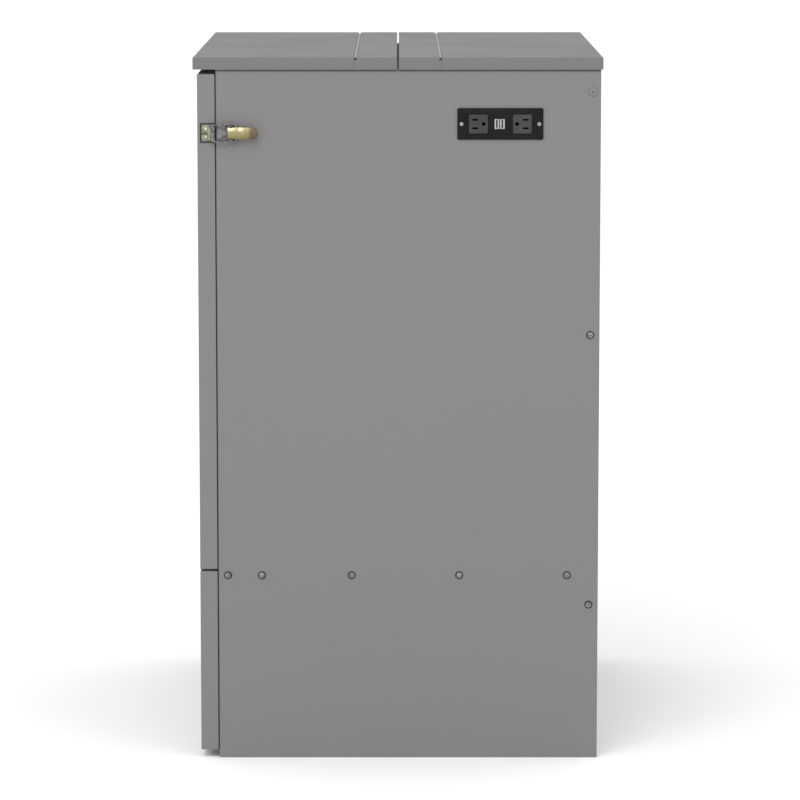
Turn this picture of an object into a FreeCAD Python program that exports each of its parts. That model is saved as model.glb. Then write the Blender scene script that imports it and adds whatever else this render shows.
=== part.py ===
import FreeCAD, Part
import math
import os
import re
import Sketcher

# Outdoor battery box: folded sheet cabinet with a drop-down door, a two-leaf roof lid,
# draw latches on both sides, an outlet plate on the right side, and the batteries,
# inverter and breaker it holds. +Z is up, the door faces -Y, millimetres throughout.
# The origin is the centre of the footprint on the floor.

DOC = FreeCAD.newDocument("BatteryBox")
SHEET = DOC.addObject("Spreadsheet::Sheet", "Sizes")

# Driving sizes: each is set by itself and written once.
SIZES = {
    # overall
    "lid_width": 762.0,
    "lid_length": 610.0,
    "overall_height": 1062.5,
    # sheet metal
    "skin": 1.5,
    "side_skin": 2.0,
    "bend_radius": 2.5,
    "front_bend_radius": 2.0,
    "lid_depth": 18.0,
    "lip_clearance": 2.5,
    "rear_clearance": 1.5,
    "door_reveal": 4.7,
    "door_depth": 26.0,
    "door_gap": 1.5,
    "door_return": 18.0,
    "roof_clearance": 6.8,
    "front_flange": 25.0,
    "top_flange": 20.0,
    "rear_flange": 25.0,
    "base_flange": 22.0,
    # drop-down door and fixed lower front panel
    "seam_height": 289.0,
    "lower_panel_rise": 12.0,
    "seal_height": 1.2,
    "seal_width": 12.0,
    "seal_inset": 3.0,
    "recess_depth": 1.1,
    "recess_height": 30.0,
    "recess_reach": 22.0,
    # piano hinges
    "knuckle_radius": 1.45,
    "hinge_pin_radius": 0.75,
    "running_clearance": 0.05,
    "hinge_leaf": 0.7,
    "hinge_inset": 1.0,
    "hinge_end_margin": 12.0,
    "knuckle_gap": 0.4,
    "knuckle_side_gap": 0.05,
    "leaf_reach": 14.0,
    "knuckle_relief": 0.25,
    # roof lid
    "lid_split_gap": 3.0,
    "lid_hinge_place": 63.5,
    "lid_hinge_drop": 1.8,
    "lid_seam_gap": 4.0,
    "tab_gap": 0.3,
    "tab_drop": 2.2,
    "curb_rise": 14.0,
    "curb_inset": 46.0,
    "curb_centre_gap": 88.0,
    "curb_front_inset": 24.0,
    "curb_skin": 1.5,
    "roof_seal_gap": 0.4,
    "roof_seal_outside": 3.0,
    "roof_seal_inside": 4.0,
    "roof_plate_inset": 1.0,
    # shelf and front rail
    "shelf_top": 294.0,
    "shelf_flange": 25.0,
    "rail_depth": 20.0,
    "shelf_front_gap": 3.0,
    # screws
    "screw_head_radius": 6.0,
    "screw_head_height": 2.6,
    "screw_shank_radius": 2.9,
    "screw_shank": 10.0,
    "screw_recess_radius": 2.0,
    "screw_recess_depth": 1.6,
    "shelf_screw_height": 281.4,
    "corner_screw_radius": 6.6,
    "rear_screw_inset": 14.0,
    "rear_screw_low": 236.3,
    "rear_screw_drop": 415.5,
    "corner_screw_inset": 12.0,
    "corner_screw_drop": 51.5,
    "rail_screw_place": 14.6,
    "shelf_screw_front": 65.8,
    "shelf_screw_rear": 47.0,
    "shelf_screw_pitch": 162.5,
    # draw latch
    "latch_drop": 112.5,
    "latch_pivot_place": 22.1,
    "latch_pivot_out": 9.0,
    "latch_pivot_radius": 2.0,
    "latch_base_width": 24.0,
    "latch_base_length": 28.6,
    "latch_base_tail": 8.0,
    "base_rivet_tail": 14.0,
    "latch_base_thickness": 1.6,
    "latch_ear_inner": 9.6,
    "latch_ear_thickness": 1.6,
    "latch_ear_half": 4.6,
    "lever_half_width": 9.0,
    "lever_length": 41.2,
    "lever_thickness": 2.6,
    "lever_boss_radius": 3.8,
    "lever_heel": 3.4,
    "lever_tip_length": 10.0,
    "lever_tip_rise": 1.5,
    "lever_tip_slope": 4.0,
    "lever_tip_round": 3.0,
    "hook_pin_radius": 1.5,
    "hook_pin_back": 8.0,
    "hook_pin_in": 1.5,
    "hook_arm_inner": 11.8,
    "hook_arm_thickness": 1.5,
    "hook_arm_half": 2.6,
    "hook_claw_gap": 0.6,
    "hook_claw_thickness": 2.0,
    "hook_claw_clear": 1.5,
    "hook_bridge_clear": 0.6,
    "hook_bridge_tail": 4.0,
    "hook_eye_extra": 0.6,
    "hook_pin_extra": 0.8,
    "strike_thickness": 1.4,
    "strike_half_height": 11.5,
    "strike_length": 17.5,
    "strike_margin": 2.0,
    "strike_lip_rise": 6.5,
    "strike_lip_inset": 1.5,
    "strike_rivet_back": 10.8,
    "rivet_radius": 2.4,
    "rivet_height": 1.1,
    "rivet_crown": 1.3,
    "rivet_shank": 1.2,
    "rivet_offset": 5.6,
    "base_rivet_offset": 7.0,
    # outlet plate
    "outlet_inset": 149.7,
    "outlet_drop": 99.0,
    "faceplate_length": 127.0,
    "faceplate_width": 46.0,
    "faceplate_thickness": 2.5,
    "faceplate_corner": 2.0,
    "receptacle_spacing": 65.4,
    "receptacle_size": 28.0,
    "receptacle_proud": 1.2,
    "receptacle_fit": 0.15,
    "blade_spacing": 12.7,
    "ground_offset": 11.9,
    "blade_length": 7.2,
    "neutral_extra": 1.6,
    "blade_width": 2.2,
    "ground_radius": 2.4,
    "slot_depth": 5.0,
    "blade_shift": 4.6,
    "usb_opening_long": 13.4,
    "usb_opening_short": 5.6,
    "usb_pitch": 8.2,
    "usb_wall": 0.5,
    "usb_depth": 10.0,
    "usb_tongue": 1.8,
    "usb_shift": 1.0,
    "usb_proud": 0.4,
    "usb_tongue_sunk": 1.2,
    "usb_tongue_end": 1.0,
    "plate_screw_spacing": 115.6,
    "plate_screw_radius": 2.9,
    "plate_screw_head": 1.3,
    "plate_screw_shank": 1.45,
    "plate_slot_width": 0.8,
    "plate_slot_depth": 0.65,
    "receptacle_round": 1.0,
    "housing_length": 110.0,
    "housing_width": 36.0,
    "housing_depth": 45.0,
    "cutout_margin": 0.6,
    # batteries
    "battery_width": 173.0,
    "battery_length": 330.0,
    "battery_case_height": 214.0,
    "battery_gap": 12.0,
    "battery_corner": 6.0,
    "terminal_radius": 8.0,
    "terminal_rise": 16.0,
    "terminal_inset": 24.0,
    "terminal_spread": 260.0,
    "link_thickness": 3.0,
    "link_width": 18.0,
    "strap_thickness": 4.0,
    "strap_width": 30.0,
    "strap_overhang": 8.0,
    "strap_bolt_inset": 5.0,
    "strap_bolt_radius": 2.5,
    "strap_bolt_proud": 4.0,
    # inverter and breaker on the shelf
    "inverter_width": 300.0,
    "inverter_depth": 130.0,
    "inverter_height": 420.0,
    "inverter_round": 4.0,
    "fin_count": 9,
    "fin_pitch": 29.6,
    "fin_gap": 13.0,
    "fin_first": 13.0,
    "fin_depth": 10.0,
    "fin_margin": 20.0,
    "inverter_rear_gap": 9.0,
    "fan_radius": 38.0,
    "fan_hub_radius": 13.0,
    "fan_depth": 16.0,
    "fan_blade_thickness": 2.4,
    "fan_blade_tilt": 32.0,
    "fan_drop": 90.0,
    "fan_clearance": 2.5,
    "fan_sunk": 3.0,
    "fan_well_extra": 8.0,
    "fan_blade_root": 2.0,
    "fan_blade_height": 17.6,
    "fan_blades": 7,
    "breaker_width": 36.0,
    "breaker_height": 84.0,
    "breaker_depth": 62.0,
    "breaker_place": 220.0,
    "breaker_rise": 150.0,
    "toggle_radius": 8.0,
    "toggle_width": 12.0,
    "toggle_reach": 17.0,
    "toggle_thickness": 5.0,
    "toggle_slot_gap": 0.6,
    "toggle_sunk": 6.0,
    "breaker_round": 1.5,
    # cables and cable entry
    "cable_radius": 5.5,
    "cable_bend": 34.0,
    "cable_spread": 14.0,
    "cable_pass_gap": 2.5,
    "breaker_riser": 45.0,
    "return_riser_y": 215.0,
    "return_gap": 2.0,
    "lead_radius": 4.0,
    "outlet_lead_x": 100.0,
    "outlet_lead_shift": 24.0,
    "grommet_radius": 20.0,
    "grommet_bore": 12.0,
    "grommet_flange": 6.0,
    "grommet_lip": 2.4,
    "grommet_core_inside": 2.0,
    "grommet_height": 345.0,
    "grommet_place": 290.0,
    "louvre_count": 6,
    "louvre_length": 180.0,
    "louvre_width": 5.0,
    "louvre_pitch": 16.0,
    "louvre_drop": 202.5,
    "louvre_spread": 135.0,
    # floor anchors
    "overcut": 1.0,
    "anchor_radius": 5.5,
    "anchor_half_x": 300.0,
    "anchor_half_y": 230.0,
}

# Sizes that follow from the driving ones.
DERIVED = {
    "latch_height": "overall_height - latch_drop",
    "seam_gap": "2 * (knuckle_radius + knuckle_side_gap)",
    "outlet_height": "overall_height - outlet_drop",
    "louvre_height": "overall_height - louvre_drop",
    "half_x": "lid_width / 2",
    "half_y": "lid_length / 2",
    "side_outer": "half_x - skin - lip_clearance",
    "side_inner": "side_outer - side_skin",
    "lid_bottom": "overall_height - lid_depth",
    "frame_bottom": "lid_bottom - skin",
    "door_front": "-half_y + skin + door_reveal",
    "door_back": "door_front + door_depth",
    "side_front": "door_back + door_gap",
    "side_rear": "half_y - skin - rear_clearance",
    "rear_inner": "side_rear - side_skin",
    "door_bottom": "seam_height + seam_gap / 2",
    "door_top": "lid_bottom - roof_clearance",
    "lower_top": "seam_height - seam_gap / 2",
    "hinge_line": "door_front + hinge_inset",
    "knuckle_bore": "hinge_pin_radius + running_clearance",
    "lid_hinge_height": "overall_height - lid_hinge_drop",
    "strip_edge": "lid_hinge_place - lid_seam_gap / 2",
    "leaf_edge": "lid_hinge_place + lid_seam_gap / 2",
    "rail_back": "side_front + side_skin + rail_depth",
    "pivot_y": "side_front + latch_pivot_place",
    "pivot_x": "side_outer + latch_pivot_out",
    "hook_pin_x": "pivot_x - hook_pin_in",
    "hook_pin_y": "pivot_y + hook_pin_back",
    "strike_back": "door_back - strike_margin",
    "strike_face": "side_outer - recess_depth",
    "outlet_out": "side_outer + faceplate_thickness",
    "battery_top": "side_skin + battery_case_height",
    "inverter_front": "rear_inner - inverter_rear_gap - inverter_depth",
    "hook_out": "hook_arm_inner + hook_arm_thickness",
    "hook_tip": "strike_back - strike_thickness - hook_claw_gap",
    "lever_end": "pivot_y + lever_length",
    "lever_top": "pivot_x + lever_boss_radius",
    "lever_under": "lever_top - lever_thickness",
    "riser_y": "rear_inner - breaker_riser",
    "return_x": "inverter_width / 2 + cable_bend + return_gap",
    "outlet_place": "side_rear - outlet_inset",
    "curb_x": "side_outer - curb_inset",
    "fan_height": "shelf_top + inverter_height - fan_drop",
}

NODES = []


def fill_sheet():
    """Write every driving size into the sheet as a plain number with an alias."""
    for row, (alias, value) in enumerate(SIZES.items(), start=1):
        SHEET.set(f"A{row}", alias)
        SHEET.set(f"B{row}", str(value))
        SHEET.setAlias(f"B{row}", alias)
    DOC.recompute()


def expand(text):
    """Return an expression in sheet cells from one in the plain names above."""
    def swap(match):
        word = match.group(0)
        if word in DERIVED:
            return f"({expand(DERIVED[word])})"
        return f"Sizes.{word}" if word in SIZES else word
    return re.sub(r"[a-z_][a-z_0-9]*", swap, str(text))


def number(text):
    """Return the value of an expression now."""
    names = dict(SIZES)
    plain = re.sub(r"Sizes\.", "", expand(text))
    tree = re.sub(r"[a-z_][a-z_0-9]*", lambda found: repr(names[found.group(0)]), plain)
    return float(SHEET.evalExpression(tree))


def bind(thing, prop, text):
    """Tie one property of an object to the sheet."""
    thing.setExpression(prop, expand(text))


def box(name, x, y, z):
    """Block between two expressions on each axis."""
    block = DOC.addObject("Part::Box", name)
    for prop, (low, high) in zip(("Length", "Width", "Height"), (x, y, z)):
        bind(block, prop, f"({high}) - ({low})")
    for axis, (low, _) in zip("xyz", (x, y, z)):
        bind(block, f"Placement.Base.{axis}", low)
    return block


TURNS = {
    "X": FreeCAD.Rotation(FreeCAD.Vector(0, 1, 0), 90),
    "Y": FreeCAD.Rotation(FreeCAD.Vector(1, 0, 0), -90),
    "Z": FreeCAD.Rotation(),
}


def rod(name, along, centre, radius, span):
    """Cylinder along a row axis; centre gives the other two coordinates in order."""
    bar = DOC.addObject("Part::Cylinder", name)
    bar.Placement = FreeCAD.Placement(FreeCAD.Vector(), TURNS[along])
    bind(bar, "Radius", radius)
    bind(bar, "Height", f"({span[1]}) - ({span[0]})")
    places = list(centre)
    places.insert("XYZ".index(along), span[0])
    for axis, place in zip("xyz", places):
        bind(bar, f"Placement.Base.{axis}", place)
    return bar


def join(name, *pieces):
    """Fuse pieces into one solid."""
    fused = DOC.addObject("Part::MultiFuse", name)
    fused.Shapes = list(pieces)
    fused.Refine = True
    return fused


def group(name, *pieces):
    """Keep separate solids together in one object."""
    kept = DOC.addObject("Part::Compound", name)
    kept.Links = list(pieces)
    return kept


def cut(name, base, *tools):
    """Take the tools away from the base."""
    result = DOC.addObject("Part::Cut", name)
    result.Base = base
    result.Tool = tools[0] if len(tools) == 1 else join(f"{name}_tools", *tools)
    result.Refine = True
    return result


def rounded(name, base, radius, pick):
    """Round the edges that pick chooses, from their middle point and direction."""
    DOC.recompute()
    size = number(radius)
    chosen = []
    for index, edge in enumerate(base.Shape.Edges, start=1):
        ends = [vertex.Point for vertex in edge.Vertexes]
        if len(ends) == 2 and pick((ends[0] + ends[1]) * 0.5, ends[1] - ends[0]):
            chosen.append((index, size, size))
    if not chosen:
        raise RuntimeError(f"no edge to round on {name}")
    fillet = DOC.addObject("Part::Fillet", name)
    fillet.Base = base
    fillet.Edges = chosen
    return fillet


def at(value, place):
    """Whether a coordinate lies at an expression."""
    return abs(value - number(place)) < 1e-3


def along(direction, axis):
    """Whether an edge runs along a row axis."""
    return direction.Length > 1e-6 and abs(abs(direction["xyz".index(axis)]) - direction.Length) < 1e-6


def mirrored(name, source):
    """Left-hand copy of a right-hand piece, across the middle plane."""
    copy = DOC.addObject("Part::Mirroring", name)
    copy.Source = source
    copy.Normal = FreeCAD.Vector(1, 0, 0)
    return copy


def node(label, thing):
    """Name a finished sub-part and put it on the list to be written."""
    thing.Label = label
    NODES.append(thing)
    return thing


def plane(body, role):
    """Origin plane of a body."""
    return next(item for item in body.Origin.OriginFeatures if item.Role == role)


def outline(body, name, role, points, offset="0"):
    """Closed sketch of straight lines whose corners are bound to expressions."""
    sketch = body.newObject("Sketcher::SketchObject", name)
    sketch.AttachmentSupport = [(plane(body, role), "")]
    sketch.MapMode = "FlatFace"
    bind(sketch, "AttachmentOffset.Base.z", offset)
    places = [FreeCAD.Vector(number(across), number(up), 0) for across, up in points]
    count = len(places)
    lines = [Part.LineSegment(places[index], places[(index + 1) % count]) for index in range(count)]
    sketch.addGeometry(lines, False)
    rules = [Sketcher.Constraint("Coincident", index, 2, (index + 1) % count, 1) for index in range(count)]
    for index, place in enumerate(places):
        rules.append(Sketcher.Constraint("DistanceX", -1, 1, index, 1, place.x))
        rules.append(Sketcher.Constraint("DistanceY", -1, 1, index, 1, place.y))
    sketch.addConstraint(rules)
    for index, (across, up) in enumerate(points):
        bind(sketch, f"Constraints[{count + 2 * index}]", across)
        bind(sketch, f"Constraints[{count + 2 * index + 1}]", up)
    return sketch


def ring(body, name, role, centre, radius, offset="0"):
    """Closed sketch of one circle bound to expressions."""
    sketch = body.newObject("Sketcher::SketchObject", name)
    sketch.AttachmentSupport = [(plane(body, role), "")]
    sketch.MapMode = "FlatFace"
    bind(sketch, "AttachmentOffset.Base.z", offset)
    middle = FreeCAD.Vector(number(centre[0]), number(centre[1]), 0)
    sketch.addGeometry(Part.Circle(middle, FreeCAD.Vector(0, 0, 1), number(radius)), False)
    sketch.addConstraint([
        Sketcher.Constraint("DistanceX", -1, 1, 0, 3, middle.x),
        Sketcher.Constraint("DistanceY", -1, 1, 0, 3, middle.y),
        Sketcher.Constraint("Radius", 0, number(radius)),
    ])
    bind(sketch, "Constraints[0]", centre[0])
    bind(sketch, "Constraints[1]", centre[1])
    bind(sketch, "Constraints[2]", radius)
    return sketch


def pad(body, name, sketch, length):
    """Pad a sketch along its normal."""
    feature = body.newObject("PartDesign::Pad", name)
    feature.Profile = sketch
    bind(feature, "Length", length)
    return feature


def pocket(body, name, sketch, length):
    """Pocket a sketch against its normal and check that it removed metal."""
    DOC.recompute()
    before = body.Shape.Volume
    feature = body.newObject("PartDesign::Pocket", name)
    feature.Profile = sketch
    bind(feature, "Length", length)
    DOC.recompute()
    if body.Shape.Volume >= before:
        raise RuntimeError(f"{name} cuts nothing")
    return feature


# Cabinet shell ---------------------------------------------------------------------------

def side_panel(name, sign):
    """Side sheet with an inward front flange and an inward top flange."""
    outer, inner = f"{sign} * (side_outer)", f"{sign} * (side_inner)"
    web = box(f"{name}_web", span(outer, inner, sign), ("side_front", "side_rear"), ("0", "frame_bottom"))
    front = box(f"{name}_front", span(outer, f"{sign} * (side_outer - front_flange)", sign),
                ("side_front", "side_front + side_skin"), ("0", "frame_bottom"))
    top = box(f"{name}_top", span(outer, f"{sign} * (side_outer - top_flange)", sign),
              ("side_front", "side_rear"), ("frame_bottom - side_skin", "frame_bottom"))
    folded = join(f"{name}_folded", web, front, top)

    def pick(middle, direction):
        if not at(middle.x, outer):
            return False
        return (at(middle.y, "side_front") and along(direction, "z")) or (
            at(middle.z, "frame_bottom") and along(direction, "y"))
    return rounded(f"{name}_bent", folded, "bend_radius", pick)


def span(first, second, sign):
    """Order two X expressions so that the lower one comes first."""
    return (second, first) if sign > 0 else (first, second)


def side_screw_places():
    """Y and Z of each screw through a side panel: the front rail first, then the shelf."""
    rows = ["side_front + rail_screw_place", "side_front + shelf_screw_front",
            "side_rear - shelf_screw_rear - 2 * shelf_screw_pitch",
            "side_rear - shelf_screw_rear - shelf_screw_pitch",
            "side_rear - shelf_screw_rear"]
    return [(place, "shelf_screw_height") for place in rows]


def rear_screw_places():
    """Y and Z of each screw through a side panel into the rear panel's flange."""
    return [("side_rear - rear_screw_inset", height)
            for height in ("rear_screw_low", "overall_height - rear_screw_drop")]


def corner_screw_place():
    """Y and Z of the painted corner screw near the top rear."""
    return [("side_rear - corner_screw_inset", "overall_height - corner_screw_drop")]


def screw_holes(name, sign, places):
    """Clearance rods for a side panel's screws."""
    return [rod(f"{name}_hole{index}", "X", place, "screw_shank_radius",
                span(f"{sign} * (side_outer + overcut)", f"{sign} * (side_outer - screw_shank)", sign))
            for index, place in enumerate(places)]


def side_panels():
    """Both side panels; only the right one has the outlet cut-out."""
    places = side_screw_places() + rear_screw_places() + corner_screw_place()
    right = side_panel("right_side", 1)
    window = box("outlet_window", ("side_inner - overcut", "side_outer + overcut"),
                 ("outlet_place - housing_length / 2 - cutout_margin",
                  "outlet_place + housing_length / 2 + cutout_margin"),
                 ("outlet_height - housing_width / 2 - cutout_margin",
                  "outlet_height + housing_width / 2 + cutout_margin"))
    node("right_side_panel", cut("right_side_cut", right, window, *screw_holes("right", 1, places)))
    left = side_panel("left_side", -1)
    node("left_side_panel", cut("left_side_cut", left, *screw_holes("left", -1, places)))


def base_pan():
    """Floor pan with up-flanges and four anchor holes."""
    x = ("-(side_inner)", "side_inner")
    y = ("side_front + side_skin", "rear_inner")
    shell = box("base_outer", x, y, ("0", "base_flange"))
    hollow = box("base_hollow", ("-(side_inner) + side_skin", "side_inner - side_skin"),
                 (f"{y[0]} + side_skin", f"{y[1]} - side_skin"), ("side_skin", "base_flange + overcut"))
    anchors = [rod(f"anchor{index}", "Z", (f"{sx} * anchor_half_x", f"{sy} * anchor_half_y"),
                   "anchor_radius", ("-overcut", "side_skin + overcut"))
               for index, (sx, sy) in enumerate(((-1, -1), (1, -1), (1, 1), (-1, 1)))]
    node("base_pan", cut("base_cut", shell, hollow, *anchors))


def rear_panel():
    """Rear sheet with forward flanges, vent slots and the cable entry hole."""
    flat_top = "frame_bottom - side_skin"
    x = ("-(side_outer - top_flange)", "side_outer - top_flange")
    depth = ("side_rear - rear_flange", "rear_inner + overcut")
    pieces = [box("rear_web", ("-(side_inner)", "side_inner"), ("rear_inner", "side_rear"), ("0", flat_top)),
              box("rear_crown", x, ("rear_inner", "side_rear"), (f"{flat_top} - overcut", "frame_bottom")),
              box("rear_hem", x, depth, (flat_top, "frame_bottom"))]
    for sign in (1, -1):
        width = span(f"{sign} * (side_inner)", f"{sign} * (side_inner - side_skin)", sign)
        pieces.append(box(f"rear_flange{sign + 1}", width, depth, ("base_flange", flat_top)))
    through = ("rear_inner - overcut", "side_rear + overcut")
    tools = [rod("cable_entry", "Y", ("-grommet_place", "grommet_height"), "grommet_radius", through)]
    for sign in (-1, 1):
        for index in range(int(SIZES["louvre_count"])):
            low = f"louvre_height + {index} * louvre_pitch"
            tools.append(box(f"vent{sign + 1}_{index}", (f"{sign} * louvre_spread - louvre_length / 2",
                                                        f"{sign} * louvre_spread + louvre_length / 2"),
                             through, (low, f"{low} + louvre_width")))
        tools += screw_holes(f"rear{sign + 1}", sign, rear_screw_places() + corner_screw_place())
    node("rear_panel", cut("rear_cut", join("rear_folded", *pieces), *tools))


CURB_SPANS = (("side_front + curb_front_inset", "-curb_centre_gap"),
              ("curb_centre_gap", "side_rear - curb_front_inset"))


def roof_frame():
    """Roof plate with two wells, each with an upstand curb that sheds water."""
    width = "side_outer - roof_plate_inset"
    pieces = [box("roof_plate", (f"-({width})", width), ("side_front", "side_rear"),
                  ("frame_bottom", "lid_bottom")),
              box("roof_header", ("-(side_outer - front_flange)", "side_outer - front_flange"),
                  ("side_front", "side_front + skin"), ("frame_bottom - front_flange", "frame_bottom"))]
    wells = []
    for index, (low, high) in enumerate(CURB_SPANS):
        top = "frame_bottom + curb_rise"
        pieces.append(box(f"curb{index}", ("-(curb_x)", "curb_x"), (low, high), ("frame_bottom", top)))
        wells.append(box(f"well{index}", ("-(curb_x - curb_skin)", "curb_x - curb_skin"),
                         (f"{low} + curb_skin", f"{high} - curb_skin"),
                         ("frame_bottom - overcut", f"{top} + overcut")))
    node("roof_frame", cut("roof_cut", join("roof_joined", *pieces), *wells))


def roof_gasket():
    """Two foam seals on top of the curbs, just clear of the closed lid."""
    rings = []
    low_z, high_z = "frame_bottom + curb_rise", "overall_height - skin - roof_seal_gap"
    for index, (low, high) in enumerate(CURB_SPANS):
        out, into = "roof_seal_outside", "roof_seal_inside"
        full = box(f"roof_seal{index}", (f"-(curb_x + {out})", f"curb_x + {out}"),
                   (f"{low} - {out}", f"{high} + {out}"), (low_z, high_z))
        hole = box(f"roof_seal_hole{index}", (f"-(curb_x - {into})", f"curb_x - {into}"),
                   (f"{low} + {into}", f"{high} - {into}"), (f"{low_z} - overcut", f"{high_z} + overcut"))
        rings.append(cut(f"roof_seal_ring{index}", full, hole))
    node("roof_gasket", group("roof_seals", *rings))


def front_pan(name, low, high, sign_recess):
    """Front pan with back returns; the door also has a recess each side for its strikes."""
    x = ("-(side_outer)", "side_outer")
    shell = box(f"{name}_outer", x, ("door_front", "door_back"), (low, high))

    def pick(middle, direction):
        if at(middle.y, "door_front"):
            return True
        return along(direction, "y") and abs(abs(middle.x) - number("side_outer")) < 1e-3
    bent = rounded(f"{name}_bent", shell, "front_bend_radius", pick)
    hollow = box(f"{name}_hollow", (f"{x[0]} + skin", f"{x[1]} - skin"),
                 ("door_front + skin", "door_back - skin"), (f"{low} + skin", f"{high} - skin"))
    mouth = box(f"{name}_mouth", (f"{x[0]} + door_return", f"{x[1]} - door_return"),
                ("door_front + skin", "door_back + overcut"),
                (f"{low} + door_return", f"{high} - door_return"))
    pan = cut(f"{name}_pan", bent, hollow, mouth)
    if not sign_recess:
        return pan
    backs, pits = [], []
    z = ("latch_height - recess_height / 2", "latch_height + recess_height / 2")
    for sign in (1, -1):
        inside = span(f"{sign} * (side_outer - skin)", f"{sign} * (side_outer - 2 * skin)", sign)
        backs.append(box(f"{name}_back{sign + 1}", inside,
                         ("door_back - recess_reach - skin", "door_back - skin"),
                         (f"{z[0]} - skin", f"{z[1]} + skin")))
        pits.append(box(f"{name}_pit{sign + 1}",
                        span(f"{sign} * (side_outer + overcut)", f"{sign} * (strike_face)", sign),
                        ("door_back - recess_reach", "door_back + overcut"), z))
    return cut(f"{name}_recessed", join(f"{name}_backed", pan, *backs), *pits)


def front_panels():
    """Drop-down door above and the fixed panel below it."""
    node("door_panel", front_pan("door", "door_bottom", "door_top", True))
    lower = front_pan("lower", "lower_panel_rise", "lower_top", False)
    node("lower_front_panel", lower)


def flat_seal(name, low, high):
    """Flat foam ring on the back of a front pan."""
    x = "side_outer - seal_inset"
    y = ("door_back", "door_back + seal_height")
    full = box(f"{name}_full", (f"-({x})", x), y, (f"{low} + seal_inset", f"{high} - seal_inset"))
    hole = box(f"{name}_hole", (f"-({x}) + seal_width", f"{x} - seal_width"),
               (f"{y[0]} - overcut", f"{y[1]} + overcut"),
               (f"{low} + seal_inset + seal_width", f"{high} - seal_inset - seal_width"))
    return cut(name, full, hole)


def front_seals():
    """Door seal and lower panel seal."""
    node("door_gasket", flat_seal("door_seal", "door_bottom", "door_top"))
    node("lower_panel_gasket", flat_seal("lower_seal", "lower_panel_rise", "lower_top"))


def front_rail():
    """Channel across the front behind the seam, which carries the door hinge load."""
    x = ("-(side_inner)", "side_inner")
    z = ("shelf_top - shelf_flange", "shelf_top + shelf_flange")
    body = DOC.addObject("PartDesign::Body", "front_rail")
    low, high = "side_front + side_skin", "rail_back"
    points = [(low, z[0]), (high, z[0]), (high, f"{z[0]} + side_skin"),
              (f"{low} + side_skin", f"{z[0]} + side_skin"),
              (f"{low} + side_skin", f"{z[1]} - side_skin"), (high, f"{z[1]} - side_skin"), (high, z[1]),
              (low, z[1])]
    profile = outline(body, "rail_profile", "YZ_Plane", points, x[0])
    pad(body, "rail_pad", profile, "2 * (side_inner)")
    DOC.recompute()
    holes = []
    for sign, side in ((1, "right"), (-1, "left")):
        holes += screw_holes(f"rail_{side}", sign, side_screw_places()[:1])
    node("front_mid_rail", cut("rail_cut", body, *holes))


def equipment_shelf():
    """Shelf tray with down-flanges that the side screws hold."""
    x = ("-(side_inner)", "side_inner")
    y = ("rail_back + shelf_front_gap", "side_rear - rear_flange")
    shell = box("shelf_outer", x, y, ("shelf_top - shelf_flange", "shelf_top"))
    hollow = box("shelf_hollow", (f"{x[0]} + side_skin", f"{x[1]} - side_skin"),
                 (f"{y[0]} + side_skin", f"{y[1]} - side_skin"),
                 ("shelf_top - shelf_flange - overcut", "shelf_top - side_skin"))
    holes = []
    for sign, side in ((1, "right"), (-1, "left")):
        holes += screw_holes(f"shelf_{side}", sign, side_screw_places()[1:])
    risers = (("breaker_place - cable_spread / 2", "riser_y"), ("return_x", "return_riser_y"))
    passes = [rod(f"cable_pass{index}", "Z", place, "cable_radius + cable_pass_gap",
                  ("shelf_top - side_skin - overcut", "shelf_top + overcut")) for index,
                  place in enumerate(risers)]
    node("equipment_shelf", cut("shelf_cut", shell, hollow, *holes, *passes))


# Lid -------------------------------------------------------------------------------------

def lid_pan(name, y, sides):
    """Lid sheet pan, open below, bent along the edges that pick names."""
    x = ("-(half_x)", "half_x")
    z = ("lid_bottom", "overall_height")
    shell = box(f"{name}_outer", x, y, z)

    def pick(middle, direction):
        if at(middle.z, "overall_height"):
            return True
        return along(direction, "z") and any(at(middle.y, side) for side in sides)
    bent = rounded(f"{name}_bent", shell, "skin", pick)
    hollow = box(f"{name}_hollow", (f"{x[0]} + skin", f"{x[1]} - skin"),
                 (f"{y[0]} + skin", f"{y[1]} - skin"),
                 (f"{z[0]} - overcut", f"{z[1]} - skin"))
    return cut(f"{name}_pan", bent, hollow)


def strip_tabs(name, sign):
    """Tabs on a strip's two side lips that close the seam below the lid hinge."""
    y = span(f"{sign} * (leaf_edge - tab_gap)", f"{sign} * (strip_edge - skin)", sign)
    return [box(f"{name}_tab{side + 1}", span(f"{side} * half_x", f"{side} * (half_x - skin)", side), y,
                ("lid_bottom", "lid_hinge_height - tab_drop")) for side in (1, -1)]


def lid_pieces():
    """Two fixed strips beside the split and two hinged leaves outside them."""
    strips = (("front", -1, ("-(strip_edge)", "-lid_split_gap / 2")),
              ("rear", 1, ("lid_split_gap / 2", "strip_edge")))
    for name, sign, y in strips:
        pan = lid_pan(f"{name}_strip", y, ())
        node(f"{name}_lid_strip", join(f"{name}_strip_tabbed", pan, *strip_tabs(name, sign)))
    node("front_lid_leaf", lid_pan("front_leaf", ("-(half_y)", "-(leaf_edge)"), ("-(half_y)",)))
    node("rear_lid_leaf", lid_pan("rear_leaf", ("leaf_edge", "half_y"), ("half_y",)))


# Piano hinges ----------------------------------------------------------------------------

HINGE_KNUCKLES = 24


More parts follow.
